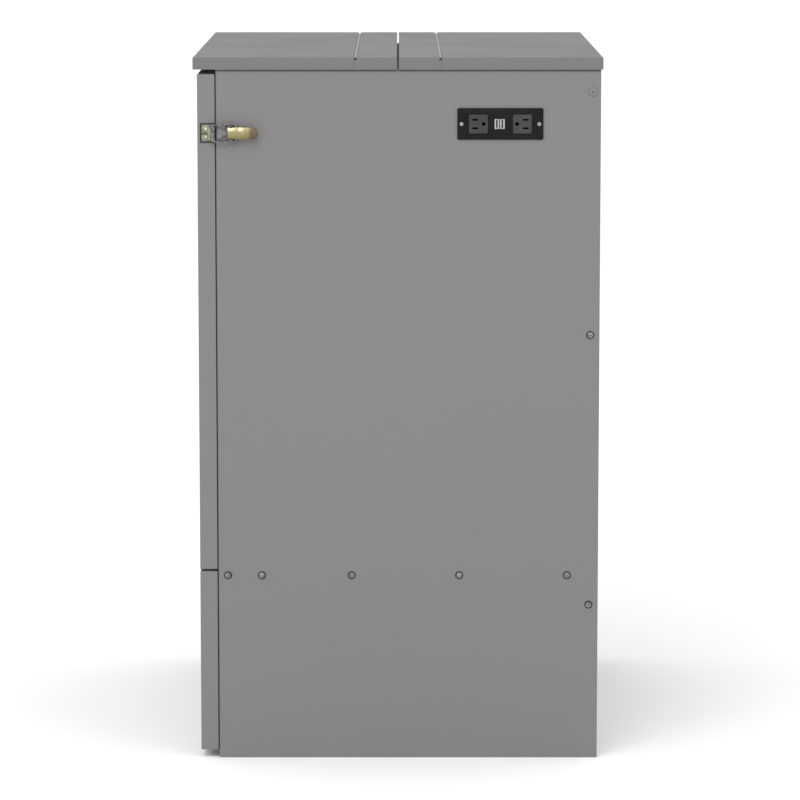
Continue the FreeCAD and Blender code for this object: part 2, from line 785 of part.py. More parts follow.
def piano_hinge(name, centre, half_length, fixed_leaf, moving_leaf):
    """Fixed half, moving half and pin of one continuous hinge along X.

    centre is the pin's Y and Z; each leaf is a pair of Y and Z spans. The knuckles
    alternate, and the first and the last belong to the fixed half.
    """
    pitch = f"2 * ({half_length}) / {HINGE_KNUCKLES + 1}"
    halves = {"fixed": [], "moving": []}
    for index in range(HINGE_KNUCKLES + 1):
        kind = "moving" if index % 2 else "fixed"
        start = f"-({half_length}) + {index} * {pitch} + knuckle_gap / 2"
        end = f"-({half_length}) + {index + 1} * {pitch} - knuckle_gap / 2"
        halves[kind].append((start, end))
    made = {}
    for kind, leaf in (("fixed", fixed_leaf), ("moving", moving_leaf)):
        plate = box(f"{name}_{kind}_leaf", (f"-({half_length})", half_length), *leaf)
        barrels = [rod(f"{name}_{kind}{index}", "X", centre, "knuckle_radius", piece)
                   for index, piece in enumerate(halves[kind])]
        other = "fixed" if kind == "moving" else "moving"
        gaps = [rod(f"{name}_{kind}_gap{index}", "X", centre, "knuckle_radius + knuckle_relief",
                    (f"{piece[0]} - knuckle_gap", f"{piece[1]} + knuckle_gap"))
                for index, piece in enumerate(halves[other])]
        bore = rod(f"{name}_{kind}_bore", "X", centre, "knuckle_bore",
                   (f"-({half_length}) - overcut", f"{half_length} + overcut"))
        cleared = cut(f"{name}_{kind}_cleared", plate, *gaps)
        made[kind] = cut(f"{name}_{kind}_half", join(f"{name}_{kind}_joined", cleared, *barrels), bore)
    made["pin"] = rod(f"{name}_pin", "X", centre, "hinge_pin_radius", (f"-({half_length})", half_length))
    for kind, made_piece in made.items():
        node(f"{name}_{kind}", made_piece)


def hinges():
    """Door hinge in the front seam and one hinge under each lid seam."""
    reach = "side_outer - hinge_end_margin"
    piano_hinge("door_hinge", ("hinge_line", "seam_height"), reach,
                (("hinge_line", "hinge_line + leaf_reach"), ("lower_top", "lower_top + hinge_leaf")),
                (("hinge_line", "hinge_line + leaf_reach"), ("door_bottom - hinge_leaf", "door_bottom")))
    leaf_z = ("lid_hinge_height - leaf_reach", "lid_hinge_height")
    reach = "half_x - hinge_end_margin"
    piano_hinge("front_lid_hinge", ("-lid_hinge_place", "lid_hinge_height"), reach,
                (("-(strip_edge) - hinge_leaf", "-(strip_edge)"), leaf_z),
                (("-(leaf_edge)", "-(leaf_edge) + hinge_leaf"), leaf_z))
    piano_hinge("rear_lid_hinge", ("lid_hinge_place", "lid_hinge_height"), reach,
                (("strip_edge", "strip_edge + hinge_leaf"), leaf_z),
                (("leaf_edge - hinge_leaf", "leaf_edge"), leaf_z))


# Draw latches ----------------------------------------------------------------------------

def latch_z(half):
    """Z span centred on the latch."""
    return (f"latch_height - ({half})", f"latch_height + ({half})")


def latch_base():
    """Latch plate with two ears that hold the lever's pivot."""
    plate = box("base_plate", ("side_outer", "side_outer + latch_base_thickness"),
                ("pivot_y + latch_base_tail - latch_base_length", "pivot_y + latch_base_tail"),
                latch_z("latch_base_width / 2"))
    solid = [plate]
    for sign in (1, -1):
        z = span(f"latch_height + {sign} * (latch_ear_inner + latch_ear_thickness)",
                 f"latch_height + {sign} * latch_ear_inner", sign)
        solid.append(box(f"ear{sign + 1}", ("side_outer", "pivot_x"),
                         ("pivot_y - latch_ear_half", "pivot_y + latch_ear_half"), z))
        solid.append(rod(f"ear_top{sign + 1}", "Z", ("pivot_x", "pivot_y"), "latch_ear_half", z))
    bore = rod("pivot_bore", "Z", ("pivot_x", "pivot_y"), "latch_pivot_radius",
               latch_z("latch_base_width"))
    holes = [rod(f"base_hole{index}", "X", place, "rivet_shank", ("side_outer - overcut", "pivot_x"))
             for index, place in enumerate(base_rivet_places())]
    return cut("latch_base_cut", join("latch_base_joined", *solid), bore, *holes)


def base_rivet_places():
    """Y and Z of the two rivets that hold a latch base."""
    return [("pivot_y - base_rivet_tail", f"latch_height + {sign} * base_rivet_offset") for sign in (1, -1)]


def latch_lever():
    """Over-centre lever: a boss on the pivot, a flat arm and a turned-out tip."""
    body = DOC.addObject("PartDesign::Body", "latch_lever")
    front, back = "pivot_y - lever_boss_radius", "hook_pin_y + lever_heel"
    inner = "pivot_x - lever_boss_radius"
    rise = "lever_tip_rise"
    bend = "lever_end - lever_tip_length"
    points = [(inner, front), ("lever_top", front), ("lever_top", bend),
              (f"lever_top + {rise}", f"{bend} + lever_tip_slope"), (f"lever_top + {rise}", "lever_end"),
              (f"lever_under + {rise}", "lever_end"), (f"lever_under + {rise}", f"{bend} + lever_tip_slope"),
              ("lever_under", bend), ("lever_under", back), (inner, back)]
    profile = outline(body, "lever_profile", "XY_Plane", points, "latch_height - lever_half_width")
    pad(body, "lever_pad", profile, "2 * lever_half_width")
    bore = ring(body, "lever_bore", "XY_Plane", ("pivot_x", "pivot_y"),
                "latch_pivot_radius + running_clearance", "latch_height + lever_half_width")
    pocket(body, "lever_bore_cut", bore, "2 * lever_half_width")
    hole = ring(body, "lever_pin_hole", "XY_Plane", ("hook_pin_x", "hook_pin_y"),
                "hook_pin_radius", "latch_height + lever_half_width")
    pocket(body, "lever_pin_cut", hole, "2 * lever_half_width")

    def pick(middle, direction):
        tip = at(middle.y, "lever_end")
        heel = middle.y < number("pivot_y")
        return (along(direction, "x") and tip) or (along(direction, "z") and heel)
    return body, pick


def latch_hook():
    """Bail hook: two arms beside the lever, joined by a claw behind the strike lip."""
    x = ("hook_pin_x - hook_arm_half", "hook_pin_x + hook_arm_half")
    front = "hook_tip - hook_claw_thickness"
    solid = []
    for sign in (1, -1):
        z = span(f"latch_height + {sign} * (hook_out)", f"latch_height + {sign} * hook_arm_inner", sign)
        solid.append(box(f"arm{sign + 1}", x, (front, "hook_pin_y"), z))
        solid.append(rod(f"arm_eye{sign + 1}", "Z", ("hook_pin_x", "hook_pin_y"),
                         "hook_arm_half + hook_eye_extra", z))
    roof = "strike_face + strike_thickness + strike_lip_rise + hook_bridge_clear"
    bridge = box("hook_bridge", (roof, x[1]), (front, "side_front + hook_bridge_tail"), latch_z("hook_out"))
    claw = box("hook_claw", ("side_outer + hook_claw_clear", x[1]), (front, "hook_tip"), latch_z("hook_out"))
    bore = rod("hook_bore", "Z", ("hook_pin_x", "hook_pin_y"), "hook_pin_radius + running_clearance",
               latch_z("latch_base_width"))
    return cut("latch_hook_cut", join("latch_hook_joined", bridge, claw, *solid), bore)


def latch_strike():
    """Strike on the door: a riveted plate with a lip that the claw pulls on."""
    plate = box("strike_plate", ("strike_face", "strike_face + strike_thickness"),
                ("strike_back - strike_length", "strike_back"), latch_z("strike_half_height"))
    lip = box("strike_lip", ("strike_face", "strike_face + strike_thickness + strike_lip_rise"),
              ("strike_back - strike_thickness", "strike_back"),
              latch_z("strike_half_height - strike_lip_inset"))
    holes = [rod(f"strike_hole{index}", "X", place, "rivet_shank",
                 ("strike_face - recess_depth", "side_outer + skin"))
             for index, place in enumerate(strike_rivet_places())]
    return cut("strike_cut", join("strike_joined", plate, lip), *holes)


def strike_rivet_places():
    """Y and Z of the two rivets that hold a strike."""
    return [("strike_back - strike_rivet_back", f"latch_height + {sign} * rivet_offset") for sign in (1, -1)]


def rivets(name, x, places):
    """Domed rivets on a plate: a shank through it and a conical head."""
    made = []
    for index, (across, up) in enumerate(places):
        head = DOC.addObject("Part::Cone", f"{name}_head{index}")
        head.Placement = FreeCAD.Placement(FreeCAD.Vector(), TURNS["X"])
        bind(head, "Radius1", "rivet_radius")
        bind(head, "Radius2", "rivet_crown")
        bind(head, "Height", "rivet_height")
        for axis, place in zip("xyz", (x, across, up)):
            bind(head, f"Placement.Base.{axis}", place)
        shank = rod(f"{name}_shank{index}", "X", (across, up), "rivet_shank", (f"{x} - strike_thickness", x))
        made.append(join(f"{name}{index}", head, shank))
    return made


def latches():
    """Right latch from its pieces, and the left one as its mirror image."""
    base = latch_base()
    lever, pick = latch_lever()
    bent_lever = rounded("lever_rounded", lever, "lever_tip_round", pick)
    hook = latch_hook()
    hook_pin = rod("hook_pin", "Z", ("hook_pin_x", "hook_pin_y"), "hook_pin_radius",
                   latch_z("hook_out + hook_pin_extra"))
    strike = latch_strike()
    for label, piece in (("latch_base", base), ("latch_lever", bent_lever), ("latch_hook", hook),
                         ("latch_hook_pin", hook_pin), ("latch_strike", strike)):
        node(f"right_{label}", piece)
        node(f"left_{label}", mirrored(f"left_{label}_mirror", piece))
    pivot = rod("pivot_pin", "Z", ("pivot_x", "pivot_y"), "latch_pivot_radius",
                latch_z("latch_ear_inner + latch_ear_thickness"))
    node("latch_pivot_pins", group("pivot_pins", pivot, mirrored("pivot_pin_mirror", pivot)))
    base_rivets = rivets("base_rivet", "side_outer + latch_base_thickness", base_rivet_places())
    strike_rivets = rivets("strike_rivet", "strike_face + strike_thickness", strike_rivet_places())
    for label, made in (("latch_rivets", base_rivets), ("strike_rivets", strike_rivets)):
        both = made + [mirrored(f"{label}_mirror{index}", piece) for index, piece in enumerate(made)]
        node(label, group(f"{label}_set", *both))


# Screws ----------------------------------------------------------------------------------

def side_screw(name, sign, place, radius):
    """Pan head screw through a side panel, with a socket in its head."""
    face = f"{sign} * (side_outer)"
    head = rod(f"{name}_head", "X", place, radius,
               span(f"{sign} * (side_outer + screw_head_height)", face, sign))
    shank = rod(f"{name}_shank", "X", place, "screw_shank_radius",
                span(face, f"{sign} * (side_outer - screw_shank)", sign))
    socket = rod(f"{name}_socket", "X", place, "screw_recess_radius",
                 span(f"{sign} * (side_outer + screw_head_height + overcut)",
                      f"{sign} * (side_outer + screw_head_height - screw_recess_depth)", sign))
    return cut(name, join(f"{name}_solid", head, shank), socket)


def side_screws():
    """Shelf, rear panel and corner screws on both sides."""
    rows = {"shelf_screws": (side_screw_places(), "screw_head_radius"),
            "rear_panel_screws": (rear_screw_places(), "screw_head_radius"),
            "corner_screws": (corner_screw_place(), "corner_screw_radius")}
    for label, (places, radius) in rows.items():
        made = [side_screw(f"{label}_{sign + 1}_{index}", sign, place, radius)
                for sign in (1, -1) for index, place in enumerate(places)]
        node(label, group(f"{label}_set", *made))


# Outlet plate ----------------------------------------------------------------------------

def outlet_window(name, size_y, size_z, centre_y, margin="0"):
    """Block through the outlet plate, used both as an opening and as a body."""
    return box(name, ("side_outer - overcut", "outlet_out + overcut"),
               (f"{centre_y} - ({size_y}) / 2 - {margin}", f"{centre_y} + ({size_y}) / 2 + {margin}"),
               (f"outlet_height - ({size_z}) / 2 - {margin}", f"outlet_height + ({size_z}) / 2 + {margin}"))


def usb_centres():
    """Y of the two USB ports."""
    return [f"outlet_place + {sign} * usb_pitch / 2 - usb_shift" for sign in (-1, 1)]


def outlet_faceplate():
    """Black plate with windows for the receptacles and the ports."""
    blank = box("faceplate_blank", ("side_outer", "outlet_out"),
                ("outlet_place - faceplate_length / 2", "outlet_place + faceplate_length / 2"),
                ("outlet_height - faceplate_width / 2", "outlet_height + faceplate_width / 2"))
    plate = rounded("faceplate_round", blank, "faceplate_corner", lambda middle, way: along(way, "x"))
    windows = [outlet_window(f"face_window{index}", "receptacle_size", "receptacle_size",
                             f"outlet_place + {sign} * receptacle_spacing / 2", "receptacle_fit")
               for index, sign in enumerate((-1, 1))]
    windows += [outlet_window(f"usb_window{index}", "usb_opening_short + 2 * usb_wall",
                              "usb_opening_long + 2 * usb_wall", centre)
                for index, centre in enumerate(usb_centres())]
    holes = [rod(f"plate_hole{index}", "X",
                 (f"outlet_place + {sign} * plate_screw_spacing / 2", "outlet_height"),
                 "plate_screw_shank", ("side_outer - overcut", "outlet_out + overcut"))
             for index, sign in enumerate((-1, 1))]
    node("outlet_faceplate", cut("faceplate_cut", plate, *windows, *holes))


def receptacle(name, sign):
    """One receptacle face with two blade slots and a ground hole, turned on its side."""
    centre = f"outlet_place + {sign} * receptacle_spacing / 2"
    x = ("side_outer", "outlet_out + receptacle_proud")
    blank = box(f"{name}_blank", x, (f"{centre} - receptacle_size / 2", f"{centre} + receptacle_size / 2"),
                ("outlet_height - receptacle_size / 2", "outlet_height + receptacle_size / 2"))
    block = rounded(f"{name}_round", blank, "receptacle_round", lambda middle, way: at(middle.x, x[1]))
    deep = ("outlet_out + receptacle_proud - slot_depth", "outlet_out + receptacle_proud + overcut")
    blade_y = f"{centre} + {sign} * blade_shift"
    tools = []
    for index, (up, extra) in enumerate(((1, "neutral_extra"), (-1, "0"))):
        middle = f"outlet_height + {up} * blade_spacing / 2"
        tools.append(box(f"{name}_slot{index}", deep,
                         (f"{blade_y} - (blade_length + {extra}) / 2",
                          f"{blade_y} + (blade_length + {extra}) / 2"),
                         (f"{middle} - blade_width / 2", f"{middle} + blade_width / 2")))
    ground_y = f"{blade_y} - {sign} * ground_offset"
    tools.append(rod(f"{name}_ground", "X", (ground_y, "outlet_height"), "ground_radius", deep))
    tools.append(box(f"{name}_ground_flat", deep,
                     span(f"{ground_y} + {sign} * ground_radius", ground_y, sign),
                     ("outlet_height - ground_radius", "outlet_height + ground_radius")))
    return cut(name, block, *tools)


def receptacles():
    """Both receptacle faces as separate solids in one node."""
    node("receptacle_faces",
         group("receptacle_pair", receptacle("left_outlet", -1), receptacle("right_outlet", 1)))


def usb_ports():
    """Two metal port shells with their tongues."""
    made = []
    half_y, half_z = "usb_opening_short / 2", "usb_opening_long / 2"
    face = "outlet_out + usb_proud"
    for index, centre in enumerate(usb_centres()):
        shell = box(f"usb_shell{index}", (f"{face} - usb_depth", face),
                    (f"{centre} - {half_y} - usb_wall", f"{centre} + {half_y} + usb_wall"),
                    (f"outlet_height - {half_z} - usb_wall", f"outlet_height + {half_z} + usb_wall"))
        hollow = box(f"usb_hollow{index}", (f"{face} - usb_depth + usb_wall", f"{face} + overcut"),
                     (f"{centre} - {half_y}", f"{centre} + {half_y}"),
                     (f"outlet_height - {half_z}", f"outlet_height + {half_z}"))
        tongue = box(f"usb_tongue{index}", (f"{face} - usb_depth", "outlet_out - usb_tongue_sunk"),
                     (f"{centre} - usb_tongue / 2", f"{centre} + usb_tongue / 2"),
                     (f"outlet_height - {half_z} + usb_tongue_end",
                      f"outlet_height + {half_z} - usb_tongue_end"))
        made.append(join(f"usb_port{index}", cut(f"usb_can{index}", shell, hollow), tongue))
    node("usb_ports", group("usb_pair", *made))


def outlet_housing():
    """Wiring box behind the plate, open towards it."""
    y = ("outlet_place - housing_length / 2", "outlet_place + housing_length / 2")
    z = ("outlet_height - housing_width / 2", "outlet_height + housing_width / 2")
    shell = box("housing_outer", ("side_outer - housing_depth", "side_outer"), y, z)
    hollow = box("housing_hollow", ("side_outer - housing_depth + skin", "side_outer + overcut"),
                 (f"{y[0]} + skin", f"{y[1]} - skin"), (f"{z[0]} + skin", f"{z[1]} - skin"))
    node("outlet_housing", cut("housing_cut", shell, hollow))


def faceplate_screws():
    """Two small screws at the plate's ends."""
    made = []
    for index, sign in enumerate((-1, 1)):
        place = (f"outlet_place + {sign} * plate_screw_spacing / 2", "outlet_height")
        head = rod(f"plate_head{index}", "X", place, "plate_screw_radius",
                   ("outlet_out", "outlet_out + plate_screw_head"))
        shank = rod(f"plate_shank{index}", "X", place, "plate_screw_shank", ("side_outer", "outlet_out"))
        crown = "outlet_out + plate_screw_head"
        slot = box(f"plate_slot{index}", (f"{crown} - plate_slot_depth", f"{crown} + overcut"),
                   (f"{place[0]} - plate_slot_width / 2", f"{place[0]} + plate_slot_width / 2"),
                   ("outlet_height - plate_screw_radius - overcut",
                    "outlet_height + plate_screw_radius + overcut"))
        made.append(cut(f"plate_screw{index}", join(f"plate_solid{index}", head, shank), slot))
    node("faceplate_screws", group("plate_screw_pair", *made))


# Contents --------------------------------------------------------------------------------

BATTERIES = 4


def battery_centre(index):
    """X of the middle of one battery in the row."""
    return f"({index} - {(BATTERIES - 1) / 2}) * (battery_width + battery_gap)"


def terminal_places(index):
    """X and Y of a battery's two terminals: positive towards the door."""
    middle = battery_centre(index)
    return [(f"{middle} + {sign} * (battery_width / 2 - terminal_inset)", f"{-end} * terminal_spread / 2")
            for sign, end in ((1, 1), (-1, -1))]


def batteries():
    """Four battery cases in a row, with their terminals."""
    posts = []
    for index in range(BATTERIES):
        middle = battery_centre(index)
        case = box(f"case{index}", (f"{middle} - battery_width / 2", f"{middle} + battery_width / 2"),
                   ("-battery_length / 2", "battery_length / 2"), ("side_skin", "battery_top"))
        node(f"battery_{index + 1}", rounded(f"case_round{index}", case, "battery_corner",
                                             lambda point,
                                             way: along(way, "z") or at(point.z, "battery_top")))
        for end, place in enumerate(terminal_places(index)):
            posts.append(rod(f"post{index}{end}", "Z", place, "terminal_radius",
                             ("battery_top", "battery_top + terminal_rise")))
    node("battery_terminals", group("posts", *posts))


def battery_links():
    """Links that join the batteries, end to end, above their terminals."""
    bars = []
    z = ("battery_top + terminal_rise", "battery_top + terminal_rise + link_thickness")
    for end, sign in ((0, 1), (1, -1)):
        first = terminal_places(0)[end]
        last = terminal_places(BATTERIES - 1)[end]
        bars.append(box(f"link{end}", (f"{first[0]} - link_width / 2", f"{last[0]} + link_width / 2"),
                        (f"{first[1]} - link_width / 2", f"{first[1]} + link_width / 2"), z))
    node("battery_links", group("links", *bars))


def hold_down():
    """Strap over the cases with a bolt at each end down to the floor pan."""
    reach = f"{battery_centre(BATTERIES - 1)} + battery_width / 2 + strap_overhang"
    strap = box("strap", (f"-({reach})", reach), ("-strap_width / 2", "strap_width / 2"),
                ("battery_top", "battery_top + strap_thickness"))
    bolts = [rod(f"strap_bolt{index}", "Z", (f"{sign} * ({reach} - strap_bolt_inset)", "0"),
                 "strap_bolt_radius",
                 ("side_skin", "battery_top + strap_thickness + strap_bolt_proud"))
             for index, sign in enumerate((-1, 1))]
    node("battery_hold_down", join("hold_down", strap, *bolts))


def inverter():
    """Inverter case with cooling fins on top and a round fan opening in its front."""
    x = ("-inverter_width / 2", "inverter_width / 2")
    y = ("inverter_front", "inverter_front + inverter_depth")
    z = ("shelf_top", "shelf_top + inverter_height")
    case = rounded("inverter_bent", box("inverter_blank", x, y, z), "inverter_round",
                   lambda middle, way: along(way, "z"))
    well = rod("fan_well", "Y", ("0", "fan_height"), "fan_radius + fan_clearance",
               (f"{y[0]} - overcut", f"{y[0]} + fan_sunk + fan_depth + fan_well_extra"))
    gaps = []
    for index in range(int(SIZES["fin_count"])):
        left = f"{x[0]} + fin_first + {index} * fin_pitch"
        gaps.append(box(f"fin_gap{index}", (left, f"{left} + fin_gap"),
                        (f"{y[0]} + fin_margin", f"{y[1]} - fin_margin"),
                        (f"{z[1]} - fin_depth", f"{z[1]} + overcut")))
    node("inverter_case", cut("inverter_cut", case, well, *gaps))


def inverter_fan():
    """Tilted blades round a hub, turning in the case's front opening."""
    depth = ("inverter_front + fan_sunk", "inverter_front + fan_sunk + fan_depth")
    centre = ("0", "fan_height")
    lay = FreeCAD.Rotation(FreeCAD.Vector(1, 0, 0), 90 + SIZES["fan_blade_tilt"])
    front = FreeCAD.Vector(0, number(depth[0]), number("fan_height"))
    root = FreeCAD.Vector(number("fan_hub_radius - fan_blade_root"), number("fan_depth / 2"), 0)
    lift = lay.multVec(FreeCAD.Vector(0, 0, number("fan_blade_height / 2")))
    blades = []
    for index in range(int(SIZES["fan_blades"])):
        blade = DOC.addObject("Part::Box", f"fan_blade{index}")
        bind(blade, "Length", "fan_radius - fan_hub_radius + fan_blade_root")
        bind(blade, "Width", "fan_blade_thickness")
        bind(blade, "Height", "fan_blade_height")
        turn = FreeCAD.Rotation(FreeCAD.Vector(0, 1, 0), 360.0 * index / SIZES["fan_blades"])
        corner = front + turn.multVec(root - lift)
        blade.Placement = FreeCAD.Placement(corner, turn * lay)
        blades.append(blade)
    rotor = DOC.addObject("Part::MultiCommon", "fan_trimmed")
    rotor.Shapes = [join("fan_joined", rod("fan_hub", "Y", centre, "fan_hub_radius", depth), *blades),
                    rod("fan_space", "Y", centre, "fan_radius", depth)]
    node("inverter_fan", rotor)


def breaker():
    """Breaker on the rear panel with a toggle in a slot in its front."""
    x = ("breaker_place - breaker_width / 2", "breaker_place + breaker_width / 2")
    y = ("rear_inner - breaker_depth", "rear_inner")
    z = ("shelf_top + breaker_rise", "shelf_top + breaker_rise + breaker_height")
    centre = (f"{y[0]} + toggle_sunk", "shelf_top + breaker_rise + breaker_height / 2")
    wide = ("breaker_place - toggle_width / 2", "breaker_place + toggle_width / 2")
    case = rounded("breaker_round_case", box("breaker_blank", x, y, z), "breaker_round",
                   lambda middle, way: along(way, "y"))
    slot = rod("toggle_slot", "X", centre, "toggle_radius + toggle_slot_gap",
               (f"{wide[0]} - toggle_slot_gap", f"{wide[1]} + toggle_slot_gap"))
    node("dc_breaker", cut("breaker_cut", case, slot))
    drum = rod("toggle_drum", "X", centre, "toggle_radius", wide)
    stick = box("toggle_stick", wide, (f"{centre[0]} - toggle_reach", centre[0]),
                (f"{centre[1]} - toggle_thickness / 2", f"{centre[1]} + toggle_thickness / 2"))
    node("breaker_toggle", join("toggle", drum, stick))


def cable_path(points, bend):
    """Wire of straight runs joined by tangent arcs of one radius."""
    edges = []
    start = points[0]
    for index in range(1, len(points) - 1):
        before = (points[index - 1] - points[index]).normalize()
        after = (points[index + 1] - points[index]).normalize()
        half_turn = (math.pi - before.getAngle(after)) / 2
        back = bend * math.tan(half_turn)
        enter = points[index] + before * back
        leave = points[index] + after * back
        inward = (before + after).normalize()
        centre = points[index] + inward * (bend / math.cos(half_turn))
        middle = centre - inward * bend
        edges.append(Part.LineSegment(start, enter).toShape())
        edges.append(Part.Arc(enter, middle, leave).toShape())
        start = leave
    edges.append(Part.LineSegment(start, points[-1]).toShape())
    return Part.Wire(edges)


def cable(name, points, radius):
    """Round cable of one radius along a list of corner expressions."""
    corners = [FreeCAD.Vector(*(number(value) for value in point)) for point in points]
    wire = cable_path(corners, number("cable_bend"))
    way = (corners[1] - corners[0]).normalize()
    profile = Part.Wire([Part.Circle(corners[0], way, number(radius)).toShape()])
    feature = DOC.addObject("Part::Feature", name)
    feature.Shape = wire.makePipeShell([profile], True, True)
    return feature


def cables():
    """Battery, breaker and outlet cables, each made whole between its two ends."""
    lying = "battery_top + terminal_rise + link_thickness + cable_radius"
    poles = terminal_places(BATTERIES - 1)
    supply_x = "breaker_place - cable_spread / 2"
    supply = [(supply_x, f"{poles[0][1]} - link_width / 2", lying), (supply_x, "riser_y", lying),
              (supply_x, "riser_y", "shelf_top + breaker_rise")]
    feed_z = "shelf_top + breaker_rise + breaker_height + 2 * cable_bend"
    feed = [("breaker_place", "riser_y", "shelf_top + breaker_rise + breaker_height"),
            ("breaker_place", "riser_y", feed_z), ("inverter_width / 2", "riser_y", feed_z)]
    node("positive_cables", group("positive_pair", cable("supply_cable", supply, "cable_radius"),
                                  cable("feed_cable", feed, "cable_radius")))
    low_z = "shelf_top + 2 * cable_bend"
    back = [("return_x", f"{poles[1][1]} - link_width / 2", lying), ("return_x", "return_riser_y", lying),
            ("return_x", "return_riser_y", low_z), ("inverter_width / 2", "return_riser_y", low_z)]
    lead_y = "outlet_place + outlet_lead_shift"
    lead = [("outlet_lead_x", lead_y, "shelf_top + inverter_height"),
            ("outlet_lead_x", lead_y, "outlet_height"),
            ("side_outer - housing_depth", lead_y, "outlet_height")]
    node("black_cables", group("black_pair", cable("return_cable", back, "cable_radius"),
                               cable("outlet_lead", lead, "lead_radius")))


def cable_grommet():
    """Rubber grommet in the rear panel for the leads that come in."""
    centre = ("-grommet_place", "grommet_height")
    rim = "grommet_radius + grommet_flange"
    out, into = "side_rear + grommet_lip", "rear_inner - grommet_lip"
    solid = join("grommet_solid",
                 rod("grommet_core", "Y", centre, "grommet_radius",
                     ("rear_inner - grommet_core_inside", out)),
                 rod("grommet_outer", "Y", centre, rim, ("side_rear", out)),
                 rod("grommet_inner", "Y", centre, rim, (into, "rear_inner")))
    bore = rod("grommet_hole", "Y", centre, "grommet_bore", (f"{into} - overcut", f"{out} + overcut"))
    node("cable_grommet", cut("grommet_cut", solid, bore))


# Build, check and write ------------------------------------------------------------------

def check():
    """Stop if any object failed or any sub-part has no valid solid."""
    DOC.recompute()
    for thing in DOC.Objects:
        if "Invalid" in thing.State or "Error" in thing.State:
            raise RuntimeError(f"{thing.Name} failed: {thing.State}")
    for thing in NODES:
        if thing.Shape.isNull() or not thing.Shape.isValid() or not thing.Shape.Solids:
            raise RuntimeError(f"{thing.Label} has no valid solid")


def write():
    """Write each sub-part to its own file."""
    os.makedirs("parts", exist_ok=True)
    for thing in NODES:
        thing.Shape.exportStep(f"parts/{thing.Label}.step")
        box_now = thing.Shape.BoundBox
        print(f"{thing.Label:26s} solids {len(thing.Shape.Solids):2d} volume {thing.Shape.Volume:12.1f} "
              f"x {box_now.XMin:8.2f} {box_now.XMax:8.2f} y {box_now.YMin:8.2f} {box_now.YMax:8.2f} "
              f"z {box_now.ZMin:8.2f} {box_now.ZMax:8.2f}")


def main():
    """Build the whole box."""
    fill_sheet()
    side_panels()
    base_pan()
    rear_panel()
    roof_frame()
    roof_gasket()
    front_panels()
    front_seals()
    front_rail()
    equipment_shelf()
    lid_pieces()
    hinges()
    latches()
    side_screws()
    outlet_faceplate()
    receptacles()
    usb_ports()
    outlet_housing()
    faceplate_screws()
    batteries()
    battery_links()
    hold_down()
    inverter()
    inverter_fan()
    breaker()
    cables()
    cable_grommet()
    check()
    write()


main()
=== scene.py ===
"""Looks of an outdoor battery box: finishes, detailed hardware, contents, light and camera."""

import logging
import math
from dataclasses import dataclass
from enum import Enum
from typing import Any, Callable, Optional, Sequence, Union

import bmesh
import bpy
from mathutils import Matrix, Vector


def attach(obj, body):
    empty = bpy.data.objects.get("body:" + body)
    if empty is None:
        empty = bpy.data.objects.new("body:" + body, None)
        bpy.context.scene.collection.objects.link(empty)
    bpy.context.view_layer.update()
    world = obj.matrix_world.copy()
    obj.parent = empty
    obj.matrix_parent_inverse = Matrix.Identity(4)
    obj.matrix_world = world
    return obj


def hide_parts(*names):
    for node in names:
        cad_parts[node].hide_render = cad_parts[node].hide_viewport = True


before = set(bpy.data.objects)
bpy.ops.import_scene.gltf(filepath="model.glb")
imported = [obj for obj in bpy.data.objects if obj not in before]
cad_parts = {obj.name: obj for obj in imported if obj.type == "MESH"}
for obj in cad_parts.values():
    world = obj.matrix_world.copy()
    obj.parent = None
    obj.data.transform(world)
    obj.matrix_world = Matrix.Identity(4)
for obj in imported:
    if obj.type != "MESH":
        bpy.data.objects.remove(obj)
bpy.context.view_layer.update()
LOG = logging.getLogger("battery_box")

MM = 0.001
Colour = tuple[float, float, float]
Point = tuple[float, float, float]
Flat = tuple[float, float]


# Shader maths ------------------------------------------------------------------------------


class Wire:
    """One output socket of a node, with the arithmetic that the finishes use."""

    def __init__(self, graph: "Graph", socket: bpy.types.NodeSocket) -> None:
        """Keep the graph and the socket.

        Args:
            graph: material that the socket belongs to.
            socket: output that later nodes read.
        """
        self.graph = graph
        self.socket = socket

    def _maths(self, operation: str, first: "Value", second: "Value" = 0.0) -> "Wire":
        """Add a Math node and return its result."""
        return self.graph.node("ShaderNodeMath", {"operation": operation}, {0: first, 1: second})

    def __add__(self, other: "Value") -> "Wire":
        """Sum with another value."""
        return self._maths("ADD", self, other)

    __radd__ = __add__

    def __sub__(self, other: "Value") -> "Wire":
        """Difference from another value."""
        return self._maths("SUBTRACT", self, other)

    def __mul__(self, other: "Value") -> "Wire":
        """Product with another value."""
        return self._maths("MULTIPLY", self, other)

    __rmul__ = __mul__

    def __pow__(self, other: "Value") -> "Wire":
        """Power of this value."""
        return self._maths("POWER", self, other)

    def ramp(self, low: float, high: float, start: float = 0.0, end: float = 1.0) -> "Wire":
        """Spread low..high over start..end, held at both ends."""
        return self.graph.node("ShaderNodeMapRange", {"clamp": True},
                               {"Value": self, "From Min": low, "From Max": high, "To Min": start,
                                "To Max": end})

    def blend(self, first: Union[Colour, "Wire"], second: Colour) -> "Wire":
        """Colour between two others, by this value."""
        return self.graph.node("ShaderNodeMix", {"data_type": "RGBA"},
                               {"Factor": self, "A": first, "B": second}, "Result")


Value = Union[float, Wire]


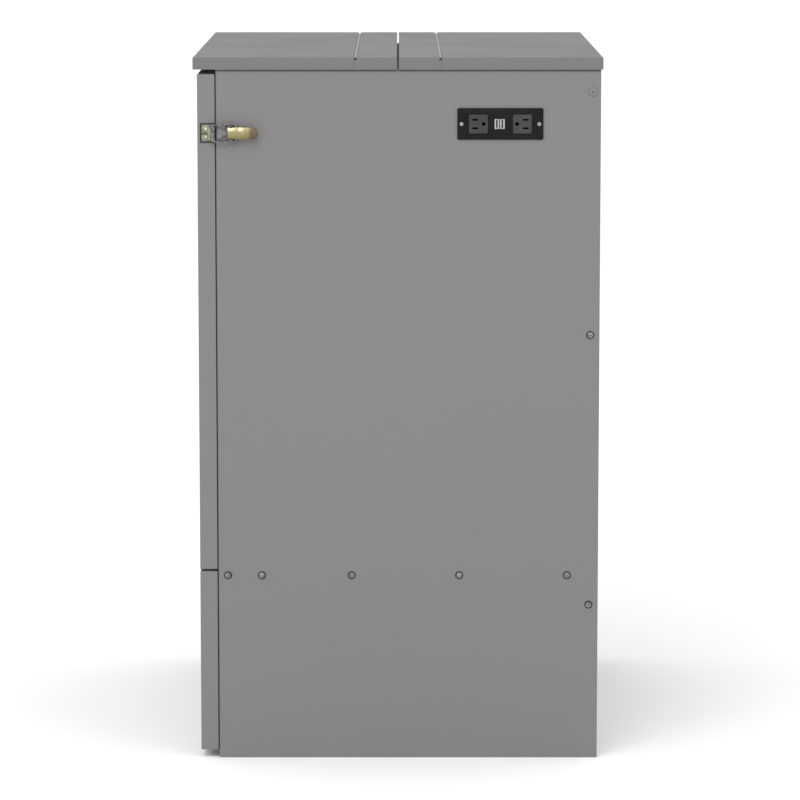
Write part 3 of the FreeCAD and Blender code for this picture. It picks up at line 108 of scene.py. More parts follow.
class Graph:
    """A material with one Principled shader, being wired."""

    def __init__(self, name: str) -> None:
        """Make the material.

        Args:
            name: name of the finish.
        """
        self.material = bpy.data.materials.new(name)
        self.material.use_nodes = True
        self.tree = self.material.node_tree
        self.shader = self.tree.nodes["Principled BSDF"]

    def node(self, kind: str, settings: dict[str, Any], inputs: dict[Union[int, str], Any],
             output: Union[int, str] = 0) -> Wire:
        """Add any node.

        Args:
            kind: node type.
            settings: properties set first, such as an operation.
            inputs: values or wires by input name or number.
            output: which output to return.

        Returns:
            The chosen output.
        """
        made = self.tree.nodes.new(kind)
        for key, value in settings.items():
            setattr(made, key, value)
        for key, value in inputs.items():
            self._feed(self._find(made.inputs, key), value)
        return Wire(self, self._find(made.outputs, output))

    @staticmethod
    def _find(sockets: Any, key: Union[int, str]) -> bpy.types.NodeSocket:
        """Find a socket by number, or the enabled one by name."""
        if isinstance(key, int):
            return sockets[key]
        return next(item for item in sockets if item.name == key and item.enabled)

    def _feed(self, socket: bpy.types.NodeSocket, value: Any) -> None:
        """Link a wire or set a constant."""
        if isinstance(value, Wire):
            self.tree.links.new(value.socket, socket)
        elif socket.type == "RGBA":
            socket.default_value = (*value, 1.0)
        else:
            socket.default_value = value

    def set(self, **values: Any) -> None:
        """Set or link the shader's inputs; underscores in a name stand for spaces."""
        for key, value in values.items():
            self._feed(self.shader.inputs[key.replace("_", " ")], value)

    def place(self, scale: Point = (1.0, 1.0, 1.0)) -> Wire:
        """Object coordinates, stretched by a scale."""
        where = self.node("ShaderNodeTexCoord", {}, {}, "Object")
        return self.node("ShaderNodeMapping", {}, {"Vector": where, "Scale": scale})

    def noise(self, scale: float, detail: float = 3.0, stretch: Point = (1.0, 1.0, 1.0),
              roughness: float = 0.5) -> Wire:
        """Cloudy pattern from 0 to 1."""
        return self.node("ShaderNodeTexNoise", {}, {"Vector": self.place(stretch), "Scale": scale,
                                                    "Detail": detail, "Roughness": roughness})

    def cells(self, scale: float, feature: str = "F1", output: str = "Distance") -> Wire:
        """Cell pattern."""
        return self.node("ShaderNodeTexVoronoi", {"feature": feature},
                         {"Vector": self.place(), "Scale": scale}, output)

    def height(self) -> Wire:
        """Height above the floor, in metres."""
        where = self.node("ShaderNodeTexCoord", {}, {}, "Object")
        return self.node("ShaderNodeSeparateXYZ", {}, {"Vector": where}, "Z")

    def bump(self, height: Wire, distance: float, strength: float = 1.0) -> None:
        """Feed a height to the shader's normal."""
        self.set(Normal=self.node("ShaderNodeBump", {}, {"Height": height, "Distance": distance,
                                                        "Strength": strength}))


# Finishes ----------------------------------------------------------------------------------


@dataclass(frozen=True)
class Finish:
    """A material by name; each kind of finish wires its own graph."""

    name: str
    colour: Colour

    def wire(self, graph: Graph) -> None:
        """Wire the material."""
        graph.set(Base_Color=self.colour)

    def material(self) -> bpy.types.Material:
        """Return the material, made on first use."""
        title = f"finish_{self.name}"
        found = bpy.data.materials.get(title)
        if found is not None:
            return found
        graph = Graph(title)
        self.wire(graph)
        return graph.material


@dataclass(frozen=True)
class PowderCoat(Finish):
    """Satin powder coat: orange peel, faint cloudiness, and dust low down."""

    roughness: float = 0.5
    peel: float = 0.00002
    shine: float = 0.2
    dust: Colour = (0.24, 0.235, 0.225)

    def wire(self, graph: Graph) -> None:
        """Wire peel, cloud and dust."""
        cloud = graph.noise(2.3, 4.0)
        fine = graph.noise(520.0, 2.0)
        shade = cloud.ramp(0.3, 0.7, 0.0, 0.05) + fine.ramp(0.3, 0.7, 0.0, 0.03)
        light = tuple(min(1.0, channel * 1.16) for channel in self.colour)
        body = shade.blend(self.colour, light)
        grime = graph.height().ramp(0.06, 0.0, 0.0, 0.12) * graph.noise(38.0, 6.0,
                                                                        (1.0, 1.0, 0.35)).ramp(0.4, 0.75)
        graph.set(Base_Color=grime.blend(body, self.dust))
        smudge = graph.noise(9.0, 5.0).ramp(0.35, 0.7, 0.0, 0.07)
        graph.set(Roughness=smudge + fine * 0.06 + grime * 0.25 + (self.roughness - 0.06))
        graph.set(Specular_IOR_Level=self.shine)
        graph.bump(graph.noise(640.0, 1.5), self.peel)


@dataclass(frozen=True)
class Plated(Finish):
    """Plated steel: drawn grain, cloudy passivation and small scratches."""

    tint: Colour = (0.8, 0.8, 0.8)
    roughness: float = 0.26
    grain: Point = (1.0, 12.0, 1.0)

    def wire(self, graph: Graph) -> None:
        """Wire tint, grain and scratches."""
        cloud = graph.noise(160.0, 4.0)
        graph.set(Base_Color=cloud.ramp(0.35, 0.68).blend(self.colour, self.tint), Metallic=1.0)
        drawn = graph.noise(900.0, 2.0, self.grain)
        graph.set(Roughness=drawn.ramp(0.25, 0.75, self.roughness - 0.07, self.roughness + 0.12)
                  + cloud.ramp(0.4, 0.7, 0.0, 0.08))
        graph.bump(drawn, 0.00001)


@dataclass(frozen=True)
class Passivated(Finish):
    """Yellow-passivated lever: painted highlight along the top and painted shade below, bronzed at the
    handled tip.
    """

    # pale is the colour of the painted highlight along the top of the lever.
    pale: Colour = (0.53, 0.46, 0.27)
    bronze: Colour = (0.11, 0.085, 0.06)
    # low and high are the heights over which the painted shade below turns into the painted highlight on
    # top.
    low: float = 0.9425
    high: float = 0.9570
    tip: float = -0.2215

    def wire(self, graph: Graph) -> None:
        """Wire the painted highlight and painted shade across the lever, and the bronzed tip along it."""
        where = graph.node("ShaderNodeTexCoord", {}, {}, "Object")
        along = graph.node("ShaderNodeSeparateXYZ", {}, {"Vector": where}, "Y")
        cloud = graph.noise(190.0, 4.0)
        # Painted light: by height, darker (painted shade) low on the lever and pale (painted highlight)
        # along its top.
        rise = graph.height().ramp(self.low, self.high) * 0.86 + cloud.ramp(0.3, 0.7, 0.0, 0.14)
        plating_and_painted_light = (rise ** 1.3).blend(self.colour, self.pale)
        handled = along.ramp(self.tip, self.tip + 0.002) * cloud.ramp(0.2, 0.75, 1.0, 0.72)
        graph.set(Base_Color=handled.blend(plating_and_painted_light, self.bronze), Metallic=1.0)
        drawn = graph.noise(900.0, 2.0, (1.0, 12.0, 1.0))
        graph.set(Roughness=drawn.ramp(0.25, 0.75, 0.22, 0.38))
        graph.bump(drawn, 0.00001)


@dataclass(frozen=True)
class Galvanised(Finish):
    """Hot-dip zinc with spangle."""

    tint: Colour = (0.5, 0.52, 0.54)

    def wire(self, graph: Graph) -> None:
        """Wire spangle."""
        cell = graph.cells(95.0, output="Color")
        tone = graph.node("ShaderNodeSeparateColor", {}, {"Color": cell}, "Red")
        graph.set(Base_Color=tone.blend(self.colour, self.tint), Metallic=0.85,
                  Roughness=tone.ramp(0.0, 1.0, 0.36, 0.58) + graph.noise(300.0) * 0.05)
        graph.bump(graph.noise(260.0, 3.0), 0.00002)


@dataclass(frozen=True)
class Moulded(Finish):
    """Moulded plastic with a spark-eroded texture."""

    roughness: float = 0.5
    texture: float = 900.0
    depth: float = 0.00003
    coat: float = 0.0
    shine: float = 0.25

    def wire(self, graph: Graph) -> None:
        """Wire texture and handling marks."""
        marks = graph.noise(45.0, 5.0)
        light = tuple(channel * 1.3 + 0.004 for channel in self.colour)
        graph.set(Base_Color=marks.ramp(0.35, 0.75).blend(self.colour, light))
        graph.set(Roughness=marks.ramp(0.3, 0.7, self.roughness - 0.06, self.roughness + 0.08))
        graph.set(Coat_Weight=self.coat, Specular_IOR_Level=self.shine)
        graph.bump(graph.noise(self.texture, 2.0), self.depth)


@dataclass(frozen=True)
class Foam(Finish):
    """Closed-cell foam or soft rubber."""

    cell: float = 1400.0

    def wire(self, graph: Graph) -> None:
        """Wire cells."""
        pits = graph.cells(self.cell)
        light = tuple(channel * 1.8 + 0.006 for channel in self.colour)
        graph.set(Base_Color=pits.ramp(0.0, 0.8).blend(self.colour, light),
                  Roughness=pits.ramp(0.0, 0.8, 0.95, 0.75))
        graph.bump(pits, 0.00008)


@dataclass(frozen=True)
class CastMetal(Finish):
    """Bare soft metal with oxide patches."""

    oxide: Colour = (0.2, 0.2, 0.21)
    roughness: float = 0.42
    metallic: float = 1.0

    def wire(self, graph: Graph) -> None:
        """Wire oxide and dents."""
        patch = graph.noise(70.0, 6.0, roughness=0.62).ramp(0.42, 0.66)
        graph.set(Base_Color=patch.blend(self.colour, self.oxide), Metallic=self.metallic,
                  Roughness=patch.ramp(0.0, 1.0, self.roughness, self.roughness + 0.28))
        graph.bump(graph.noise(420.0, 3.0), 0.00004)


GREY = PowderCoat("grey_powder_coat", (0.180, 0.174, 0.177))
# Darker copy of the grey powder coat for the lids and their stiffeners: painted shade, because the
# upward-facing lids take more light from the sky.
GREY_LID_PAINTED_SHADE = PowderCoat("lid_powder_coat_painted_shade", (0.160, 0.158, 0.160), roughness=0.5, shine=0.04)
BRIGHT_ZINC = Plated("bright_zinc", (0.09, 0.088, 0.088), (0.27, 0.26, 0.265), roughness=0.3)
GOLD_ZINC = Passivated("yellow_zinc", (0.20, 0.17, 0.07))
CONTACT_GOLD = Plated("contact_gold", (0.5, 0.4, 0.18), (0.66, 0.54, 0.28), roughness=0.24)
STRIKE_ZINC = Plated("strike_zinc", (0.12, 0.13, 0.08), (0.34, 0.36, 0.25), roughness=0.34)
RIVET_ZINC = Plated("rivet_zinc", (0.42, 0.43, 0.34), (0.74, 0.75, 0.64), roughness=0.3,
                    grain=(1.0, 1.0, 1.0))
# Dark pad finish for the latch recess floor: painted shade where the recess is shaded.
RECESS_SHADE_PAD = Moulded("recess_painted_shade_pad", (0.105, 0.11, 0.095), roughness=0.8, shine=0.1)
SCREW_ZINC = Plated("screw_zinc", (0.13, 0.13, 0.125), (0.34, 0.33, 0.32), roughness=0.3,
                    grain=(1.0, 1.0, 1.0))
HINGE_STEEL = Plated("hinge_steel", (0.20, 0.20, 0.205), (0.32, 0.32, 0.32), roughness=0.36,
                     grain=(0.06, 1.0, 1.0))
SPANGLE = Galvanised("galvanised_sheet", (0.24, 0.255, 0.27), (0.38, 0.395, 0.41))
SEAL = Foam("seal_foam", (0.012, 0.012, 0.012))
RUBBER = Moulded("grommet_rubber", (0.018, 0.018, 0.018), roughness=0.62, texture=500.0)
PLATE_BLACK = Moulded("outlet_black", (0.008, 0.0078, 0.0072), roughness=0.5, shine=0.08)
HOUSING_BLACK = Moulded("housing_black", (0.022, 0.022, 0.024), roughness=0.6)
SOCKET_GREY = Moulded("receptacle_grey", (0.044, 0.0432, 0.0415), roughness=0.6, shine=0.1)
PLATE_SCREW = Plated("plate_screw", (0.24, 0.23, 0.22), (0.44, 0.43, 0.40), roughness=0.3,
                     grain=(1.0, 1.0, 1.0))
PORT_METAL = Plated("port_metal", (0.52, 0.52, 0.52), (0.74, 0.74, 0.74), roughness=0.18)
CASE_BLACK = Moulded("battery_case", (0.03, 0.032, 0.036), roughness=0.48, texture=700.0)
LEAD = CastMetal("terminal_lead", (0.42, 0.43, 0.45))
COPPER = CastMetal("link_copper", (0.78, 0.42, 0.27), (0.34, 0.17, 0.11), roughness=0.28)
INVERTER_COAT = PowderCoat("inverter_coat", (0.045, 0.047, 0.052), roughness=0.5)
INVERTER_FACE = PowderCoat("inverter_face", (0.075, 0.08, 0.088), roughness=0.42)
LAMP_GREEN = Moulded("lamp_green", (0.06, 0.34, 0.10), roughness=0.18, coat=0.6)
FAN_BLACK = Moulded("fan_black", (0.02, 0.02, 0.021), roughness=0.4)
BREAKER_BLACK = Moulded("breaker_black", (0.035, 0.035, 0.037), roughness=0.42)
TOGGLE_RED = Moulded("toggle_red", (0.52, 0.035, 0.02), roughness=0.3, coat=0.4)
CABLE_RED = Moulded("cable_red", (0.42, 0.02, 0.014), roughness=0.44, texture=300.0)
CABLE_BLACK = Moulded("cable_black", (0.016, 0.016, 0.017), roughness=0.44, texture=300.0)

NODE_FINISH: dict[str, Finish] = {
    "right_side_panel": GREY, "left_side_panel": GREY, "rear_panel": GREY, "roof_frame": GREY,
    "door_panel": GREY, "lower_front_panel": GREY, "corner_screws": GREY,
    "front_lid_strip": GREY_LID_PAINTED_SHADE, "rear_lid_strip": GREY_LID_PAINTED_SHADE, "front_lid_leaf": GREY_LID_PAINTED_SHADE,
    "rear_lid_leaf": GREY_LID_PAINTED_SHADE,
    "base_pan": SPANGLE, "front_mid_rail": SPANGLE, "equipment_shelf": SPANGLE, "battery_hold_down": SPANGLE,
    "right_latch_base": BRIGHT_ZINC, "left_latch_base": BRIGHT_ZINC, "right_latch_hook": BRIGHT_ZINC,
    "left_latch_hook": BRIGHT_ZINC, "right_latch_hook_pin": BRIGHT_ZINC, "left_latch_hook_pin": BRIGHT_ZINC,
    "latch_pivot_pins": BRIGHT_ZINC, "latch_rivets": BRIGHT_ZINC, "strike_rivets": BRIGHT_ZINC,
    "right_latch_strike": STRIKE_ZINC, "left_latch_strike": STRIKE_ZINC,
    "right_latch_lever": GOLD_ZINC, "left_latch_lever": GOLD_ZINC,
    "shelf_screws": SCREW_ZINC, "rear_panel_screws": SCREW_ZINC, "faceplate_screws": SCREW_ZINC,
    "roof_gasket": SEAL, "door_gasket": SEAL, "lower_panel_gasket": SEAL, "cable_grommet": RUBBER,
    "outlet_faceplate": PLATE_BLACK, "outlet_housing": HOUSING_BLACK, "receptacle_faces": SOCKET_GREY,
    "usb_ports": PORT_METAL, "battery_terminals": LEAD, "battery_links": COPPER,
    "inverter_case": INVERTER_COAT,
    "inverter_fan": FAN_BLACK, "dc_breaker": BREAKER_BLACK, "breaker_toggle": TOGGLE_RED,
    "positive_cables": CABLE_RED, "black_cables": CABLE_BLACK,
}


def finish_of(node: str) -> Finish:
    """Finish of a CAD node."""
    if node in NODE_FINISH:
        return NODE_FINISH[node]
    return HINGE_STEEL if "hinge" in node else CASE_BLACK


def dress_nodes() -> None:
    """Give every CAD node its finish."""
    for name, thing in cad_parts.items():
        thing.data.materials.clear()
        thing.data.materials.append(finish_of(name).material())


# Shapes ------------------------------------------------------------------------------------


class Axis(Enum):
    """Direction that a shape is drawn out along; its outline lies across it."""

    X = 0
    Y = 1
    Z = 2

    def basis(self, origin: Point) -> Matrix:
        """Turn outline coordinates into the frame's.

        Args:
            origin: where the outline's own zero stands, in millimetres.

        Returns:
            Matrix in metres; an outline across X is drawn in Y and Z, and so on round.
        """
        units = Matrix.Identity(3)
        turn = Matrix([units[(self.value + step) % 3] for step in (1, 2, 0)]).transposed()
        return Matrix.Translation(Vector(origin) * MM) @ turn.to_4x4()


class Side(Enum):
    """Side of the cabinet, seen from its door."""

    RIGHT = 1
    LEFT = -1

    @property
    def word(self) -> str:
        """Name used in pieces and bodies."""
        return self.name.lower()


def arc(centre: Flat, radius: float, start: float, end: float, steps: int = 8) -> list[Flat]:
    """Points on part of a circle.

    Args:
        centre: centre in the outline's plane, in millimetres.
        radius: radius.
        start: first angle in degrees.
        end: last angle in degrees.
        steps: number of chords.

    Returns:
        Points from start to end, both included.
    """
    angles = [math.radians(start + (end - start) * step / steps) for step in range(steps + 1)]
    return [(centre[0] + radius * math.cos(angle), centre[1] + radius * math.sin(angle)) for angle in angles]


def rectangle(low: Flat, high: Flat, corner: float = 0.0, steps: int = 4) -> list[Flat]:
    """Outline of a rectangle, with round corners if asked."""
    if not corner:
        return [low, (high[0], low[1]), high, (low[0], high[1])]
    near, far = (low[0] + corner, low[1] + corner), (high[0] - corner, high[1] - corner)
    return [*arc(near, corner, 180.0, 270.0, steps), *arc((far[0], near[1]), corner, 270.0, 360.0, steps),
            *arc(far, corner, 0.0, 90.0, steps), *arc((near[0], far[1]), corner, 90.0, 180.0, steps)]


def circle(centre: Flat, radius: float, steps: int = 24) -> list[Flat]:
    """Outline of a circle."""
    return arc(centre, radius, 0.0, 360.0 * (steps - 1) / steps, steps - 1)


class Form:
    """One piece, put together from shapes whose sizes are in millimetres."""

    SHARP = math.radians(32.0)
    FLAT_AREA = 4e-6

    def __init__(self, name: str, finish: Finish) -> None:
        """Start an empty piece.

        Args:
            name: name of the piece.
            finish: its finish.
        """
        self.name = name
        self.finish = finish
        self.mesh = bmesh.new()

    def _add(self, part: bmesh.types.BMesh, soft: float, segments: int,
             pick: Optional[Callable[[bmesh.types.BMEdge], bool]] = None) -> "Form":
        """Round a shape's sharp edges and join it to the piece."""
        bmesh.ops.recalc_face_normals(part, faces=part.faces)
        if soft:
            edges = [edge for edge in part.edges if edge.is_manifold and edge.calc_face_angle() > self.SHARP
                     and (pick is None or pick(edge))]
            bmesh.ops.bevel(part, geom=edges, offset=soft * MM, offset_type="OFFSET", segments=segments,
                            profile=0.5, affect="EDGES", clamp_overlap=True, material=-1)
        scratch = bpy.data.meshes.new("scratch")
        part.to_mesh(scratch)
        part.free()
        self.mesh.from_mesh(scratch)
        bpy.data.meshes.remove(scratch)
        return self

    def block(self, low: Point, high: Point, soft: float = 0.0, segments: int = 2) -> "Form":
        """Add a box between two corners.

        Args:
            low: lowest corner.
            high: highest corner.
            soft: rounding of its edges.
            segments: steps in the rounding.
        """
        centre = (Vector(low) + Vector(high)) * 0.5 * MM
        size = (Vector(high) - Vector(low)) * MM
        part = bmesh.new()
        bmesh.ops.create_cube(part, size=1.0,
                              matrix=Matrix.Translation(centre) @ Matrix.Diagonal((*size, 1.0)))
        return self._add(part, soft, segments)

    def rod(self, axis: Axis, start: Point, length: float, radius: float, tip: Optional[float] = None,
            soft: float = 0.0, sides: int = 32) -> "Form":
        """Add a cylinder or a cone.

        Args:
            axis: direction of its length.
            start: middle of its first end.
            length: length along the axis; may be negative.
            radius: radius at the start.
            tip: radius at the far end, if it differs.
            soft: rounding of its rims.
            sides: number of sides.
        """
        part = bmesh.new()
        bmesh.ops.create_cone(part, cap_ends=True, cap_tris=False, segments=sides, radius1=radius * MM,
                              radius2=(radius if tip is None else tip) * MM, depth=length * MM,
                              matrix=axis.basis(start) @ Matrix.Translation((0.0, 0.0, length * MM / 2)))
        return self._add(part, soft, 2)

    def turned(self, axis: Axis, start: Point, profile: Sequence[Flat], sides: int = 32) -> "Form":
        """Add a lathe-turned shape.

        Args:
            axis: direction of its centre line.
            start: point on the centre line.
            profile: radius and distance along the axis, from one end to the other.
            sides: number of sides.
        """
        part = bmesh.new()
        basis = axis.basis(start)
        rim = [part.verts.new(basis @ Vector((radius * MM, 0.0, along * MM))) for radius, along in profile]
        edges = [part.edges.new(pair) for pair in zip(rim, rim[1:])]
        bmesh.ops.spin(part, geom=[*rim, *edges], cent=basis.translation, axis=basis.to_3x3().col[2],
                       angle=math.tau, steps=sides, use_merge=True)
        bmesh.ops.remove_doubles(part, verts=part.verts, dist=1e-6)
        return self._add(part, 0.0, 1)

    def drawn(self, axis: Axis, outline: Sequence[Flat], start: float, end: float, soft: float = 0.0,
              holes: Sequence[Sequence[Flat]] = (), segments: int = 2,
              pick: Optional[Callable[[bmesh.types.BMEdge], bool]] = None) -> "Form":
        """Add an outline drawn out along an axis.

        Args:
            axis: direction of drawing.
            outline: points across the axis, in order.
            start: where it begins along the axis.
            end: where it ends.
            soft: rounding of its edges.
            holes: outlines left open.
            segments: steps in the rounding.
            pick: chooses the sharp edges to round; all of them if left out.
        """
        part = bmesh.new()
        basis = axis.basis((0.0, 0.0, 0.0))
        edges = []
        for loop in (outline, *holes):
            ring = [part.verts.new(basis @ Vector((first * MM, second * MM, start * MM))) for first,
                    second in loop]
            edges += [part.edges.new((ring[index - 1], ring[index])) for index in range(len(ring))]
        if holes:
            bmesh.ops.triangle_fill(part, edges=edges, use_beauty=True)
        else:
            bmesh.ops.contextual_create(part, geom=edges)
        grown = bmesh.ops.extrude_face_region(part, geom=list(part.faces))
        moved = [item for item in grown["geom"] if isinstance(item, bmesh.types.BMVert)]
        bmesh.ops.translate(part, verts=moved, vec=basis.to_3x3().col[2] * (end - start) * MM)
        return self._add(part, soft, segments, pick)

    def swept(self, path: Sequence[Point], radius: float, sides: int = 10) -> "Form":
        """Add a round bar along a path.

        Args:
            path: points in order.
            radius: radius of the bar.
            sides: number of sides.
        """
        part = bmesh.new()
        points = [Vector(point) * MM for point in path]
        rings, side = [], None
        for index, point in enumerate(points):
            way = (points[min(index + 1, len(points) - 1)] - points[max(index - 1, 0)]).normalized()
            side = way.orthogonal() if side is None else side - way * side.dot(way)
            side.normalize()
            across = way.cross(side)
            turns = [math.tau * step / sides for step in range(sides)]
            rings.append([part.verts.new(point + (side * math.cos(turn) + across * math.sin(turn))
                                         * radius * MM)
                          for turn in turns])
        for first, second in zip(rings, rings[1:]):
            for step in range(sides):
                part.faces.new((first[step - 1], first[step], second[step], second[step - 1]))
        part.faces.new(rings[0])
        part.faces.new(rings[-1])
        return self._add(part, 0.0, 1)

    def flipped(self, side: Side) -> "Form":
        """Mirror a piece drawn for the right side if it belongs on the left.

        Args:
            side: side that the piece belongs on.
        """
        if side is Side.LEFT:
            bmesh.ops.scale(self.mesh, vec=(-1.0, 1.0, 1.0), verts=self.mesh.verts)
            bmesh.ops.recalc_face_normals(self.mesh, faces=self.mesh.faces)
        return self

    def place(self, body: str, slot: str, *nodes: str) -> bpy.types.Object:
        """Finish the piece and fix it to a body.

        Args:
            body: body that carries it.
            slot: record's material slot; not used.
            nodes: CAD nodes that it stands for.

        Returns:
            The finished object.
        """
        for edge in self.mesh.edges:
            edge.smooth = edge.calc_face_angle(0.0) < self.SHARP
        for face in self.mesh.faces:
            square = max(abs(part) for part in face.normal) > 0.99999
            face.smooth = not (square and face.calc_area() > self.FLAT_AREA)
        mesh = bpy.data.meshes.new(self.name)
        self.mesh.to_mesh(mesh)
        self.mesh.free()
        mesh.materials.append(self.finish.material())
        thing = bpy.data.objects.new(self.name, mesh)
        bpy.context.scene.collection.objects.link(thing)
        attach(thing, body)
        if nodes:
            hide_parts(*nodes)
        LOG.info("%s: %d faces on %s", self.name, len(mesh.polygons), body)
        return thing


# Latches -----------------------------------------------------------------------------------


POP_RIVET: Sequence[Flat] = ((0.0, 0.5), (0.7, 0.5), (0.8, 0.95), (1.15, 1.1), (1.75, 0.95), (2.2, 0.5),
                             (2.4, 0.0))


@dataclass(frozen=True)
class DrawLatch:
    """Over-centre draw latch: base, lever, bail hook and the strike on the door."""

    side: Side
    height: float = 950.0
    wall: float = 377.0
    pivot: Flat = (386.0, -249.2)
    hook_pin: Flat = (384.5, -241.2)
    base_rivet: float = -263.2
    strike_rivet: float = -285.6
    strike_face: float = 375.9
    strike_back: float = -274.8

    def name(self, part: str) -> str:
        """Name of one of the latch's pieces."""
        return f"{self.side.word}_latch_{part}"

    def base(self) -> None:
        """Base plate with two tapered ears and a raised rim."""
        form = Form(self.name("base_plate"), BRIGHT_ZINC)
        top = self.wall + 1.6
        plate = rectangle((-269.8, self.height - 12.0), (-241.2, self.height + 12.0), 2.2)
        holes = [circle((self.base_rivet, self.height + shift), 1.25) for shift in (-7.0, 7.0)]
        form.drawn(Axis.X, plate, self.wall, top, 0.35, holes)
        reach, foot = 4.6, 7.4
        across, out = self.pivot[1], self.pivot[0]
        ear = [(top - 0.4, across - foot), (top + 1.4, across - foot + 0.6),
               (out - 1.6, across - reach + 0.25),
               *arc((out, across), reach, -90.0, 90.0, 12), (out - 1.6, across + reach - 0.25),
               (top + 1.4, across + foot - 0.6), (top - 0.4, across + foot)]
        for low in (self.height + 9.6, self.height - 11.2):
            form.drawn(Axis.Z, ear, low, low + 1.6, 0.25)
        form.flipped(self.side).place("cabinet", "zinc_plate", f"{self.side.word}_latch_base")

    def rivets(self) -> None:
        """Pop rivets of the base and of the strike."""
        fixed = Form(self.name("base_rivets"), BRIGHT_ZINC)
        moving = Form(self.name("strike_rivets"), RIVET_ZINC)
        for shift in (-1.0, 1.0):
            fixed.turned(Axis.X, (self.wall + 1.6, self.base_rivet, self.height + 7.0 * shift), POP_RIVET)
            moving.turned(Axis.X, (self.strike_face + 1.4, self.strike_rivet, self.height + 5.6 * shift),
                          POP_RIVET)
        fixed.flipped(self.side).place("cabinet", "zinc_plate", "latch_rivets")
        moving.flipped(self.side).place("door", "zinc_plate", "strike_rivets")

    def pivot_pin(self) -> None:
        """Pivot pin with a peened head at each end."""
        form = Form(self.name("pivot_pin"), BRIGHT_ZINC)
        head = [(0.0, 0.0), (1.2, 0.0), (1.85, 0.2), (2.0, 0.5), (2.0, 21.9), (1.85, 22.2), (1.2, 22.4),
                (0.0, 22.4)]
        form.turned(Axis.Z, (*self.pivot, self.height - 11.2), head, 24)
        form.flipped(self.side).place("cabinet", "zinc_plate", "latch_pivot_pins")

    def lever(self) -> None:
        """Sheet lever with side cheeks, a pressed rib and a turned-out tip."""
        form = Form(self.name("lever_arm"), GOLD_ZINC)
        across, middle = self.pivot[1], self.height
        top, wide, thick = self.pivot[0] + 3.8, 8.9, 1.4
        crown = [(middle + wide * step / 8.0, top - 2.2 * (step / 8.0) ** 2) for step in range(-8, 9)]
        inner = [(middle + (wide - thick) * step / 8.0, top - thick - 2.0 * (step / 8.0) ** 2)
                 for step in range(8, -9, -1)]
        for start, end, foot in ((across - 3.8, across + 12.0, self.pivot[0] - 3.6),
                                 (across + 11.8, across + 23.2, self.pivot[0] - 0.4)):
            section = [(middle - wide, foot), *crown, (middle + wide, foot), (middle + wide - thick, foot),
                       *inner, (middle - wide + thick, foot)]
            form.drawn(Axis.Y, section, start, end, 0.25)
        bend, tip = across + 23.0, across + 41.0
        ridge = [(top - 2.8, bend), (top - 0.5, bend), (top + 0.7, bend + 1.0), (top + 0.8, bend + 3.2),
                 (top - 0.2, bend + 4.8), (top - 2.8, bend + 4.8)]
        form.drawn(Axis.Z, ridge, middle - wide, middle + wide, 0.35)
        pad = [(bend + 4.0, middle - wide + 0.3),
               *[(tip - 8.0 + 8.0 * point[0], middle + (wide - 0.3) * point[1])
                                                    for point in arc((0.0, 0.0), 1.0, -90.0, 90.0, 16)],
               (bend + 4.0, middle + wide - 0.3)]
        form.drawn(Axis.X, pad, top - 1.1, top + 1.3, 0.9, (), 3)
        form.flipped(self.side).place(f"{self.side.word}_lever", "yellow_zinc",
                                      f"{self.side.word}_latch_lever")

    def hook(self) -> None:
        """Bail hook: tapered arms, a bridge over the strike and a rolled claw."""
        form = Form(self.name("hook_bail"), BRIGHT_ZINC)
        out, across = self.hook_pin
        roof, front = out + 2.4, self.strike_back - 4.0
        ordered = [*arc((out, across), 3.1, -35.0, 215.0, 18), (out - 1.9, across - 9.0),
                   (out - 2.2, -264.0),
                   (out - 1.8, front + 3.0), (roof, front + 3.0), (roof, -268.5), (out + 1.9, -262.0),
                   (out + 1.7, across - 9.0)]
        for low in (self.height + 11.8, self.height - 13.3):
            form.drawn(Axis.Z, ordered, low, low + 1.5, 0.3)
        shell = [(roof, -272.6), (roof, front + 2.6), (roof - 0.6, front + 1.0), (roof - 2.0, front + 0.2),
                 (self.wall + 2.4, front), (self.wall + 1.6, front + 0.5), (self.wall + 1.6, front + 1.5),
                 (self.wall + 2.4, front + 1.9), (roof - 2.6, front + 1.9), (roof - 1.7, front + 2.7),
                 (roof - 1.5, front + 4.0), (roof - 1.5, -272.6)]
        form.drawn(Axis.Z, shell, self.height - 13.2, self.height + 13.2, 0.3)
        form.flipped(self.side).place(f"{self.side.word}_hook", "zinc_plate", f"{self.side.word}_latch_hook")
        pin = Form(self.name("hook_pin"), BRIGHT_ZINC)
        head = [(0.0, 0.0), (1.0, 0.0), (1.9, 0.25), (1.9, 0.6), (1.5, 0.7), (1.5, 27.5), (1.9, 27.6),
                (1.9, 27.95),
                (1.0, 28.2), (0.0, 28.2)]
        pin.turned(Axis.Z, (out, across, self.height - 14.1), head, 24)
        pin.flipped(self.side).place(f"{self.side.word}_lever", "zinc_plate",
                                     f"{self.side.word}_latch_hook_pin")

    def strike(self) -> None:
        """Strike plate with a bent lip and a stiffening bead."""
        form = Form(self.name("strike_plate"), STRIKE_ZINC)
        face, back = self.strike_face, self.strike_back
        middle, half, left = self.height, 11.5, back - 17.5
        plate = [(back - 0.6, middle + half), *arc((left + 5.6, middle + half - 5.6), 5.6, 90.0, 180.0, 6),
                 *arc((left + 5.6, middle - half + 5.6), 5.6, 180.0, 270.0, 6), (back - 0.6, middle - half)]
        holes = [circle((self.strike_rivet, self.height + shift), 1.25) for shift in (-5.6, 5.6)]
        form.drawn(Axis.X, plate, face, face + 1.4, 0.3, holes)
        lip = [(face, back - 3.4), (face, back - 0.9), (face + 0.3, back - 0.25), (face + 0.9, back),
               (face + 7.5, back), (face + 7.9, back - 0.4), (face + 7.9, back - 1.1),
               (face + 7.5, back - 1.4),
               (face + 2.6, back - 1.4), (face + 1.8, back - 1.8), (face + 1.4, back - 2.6),
               (face + 1.4, back - 3.4)]
        form.drawn(Axis.Z, lip, self.height - 10.0, self.height + 10.0, 0.2)
        form.flipped(self.side).place("door", "zinc_plate", f"{self.side.word}_latch_strike")

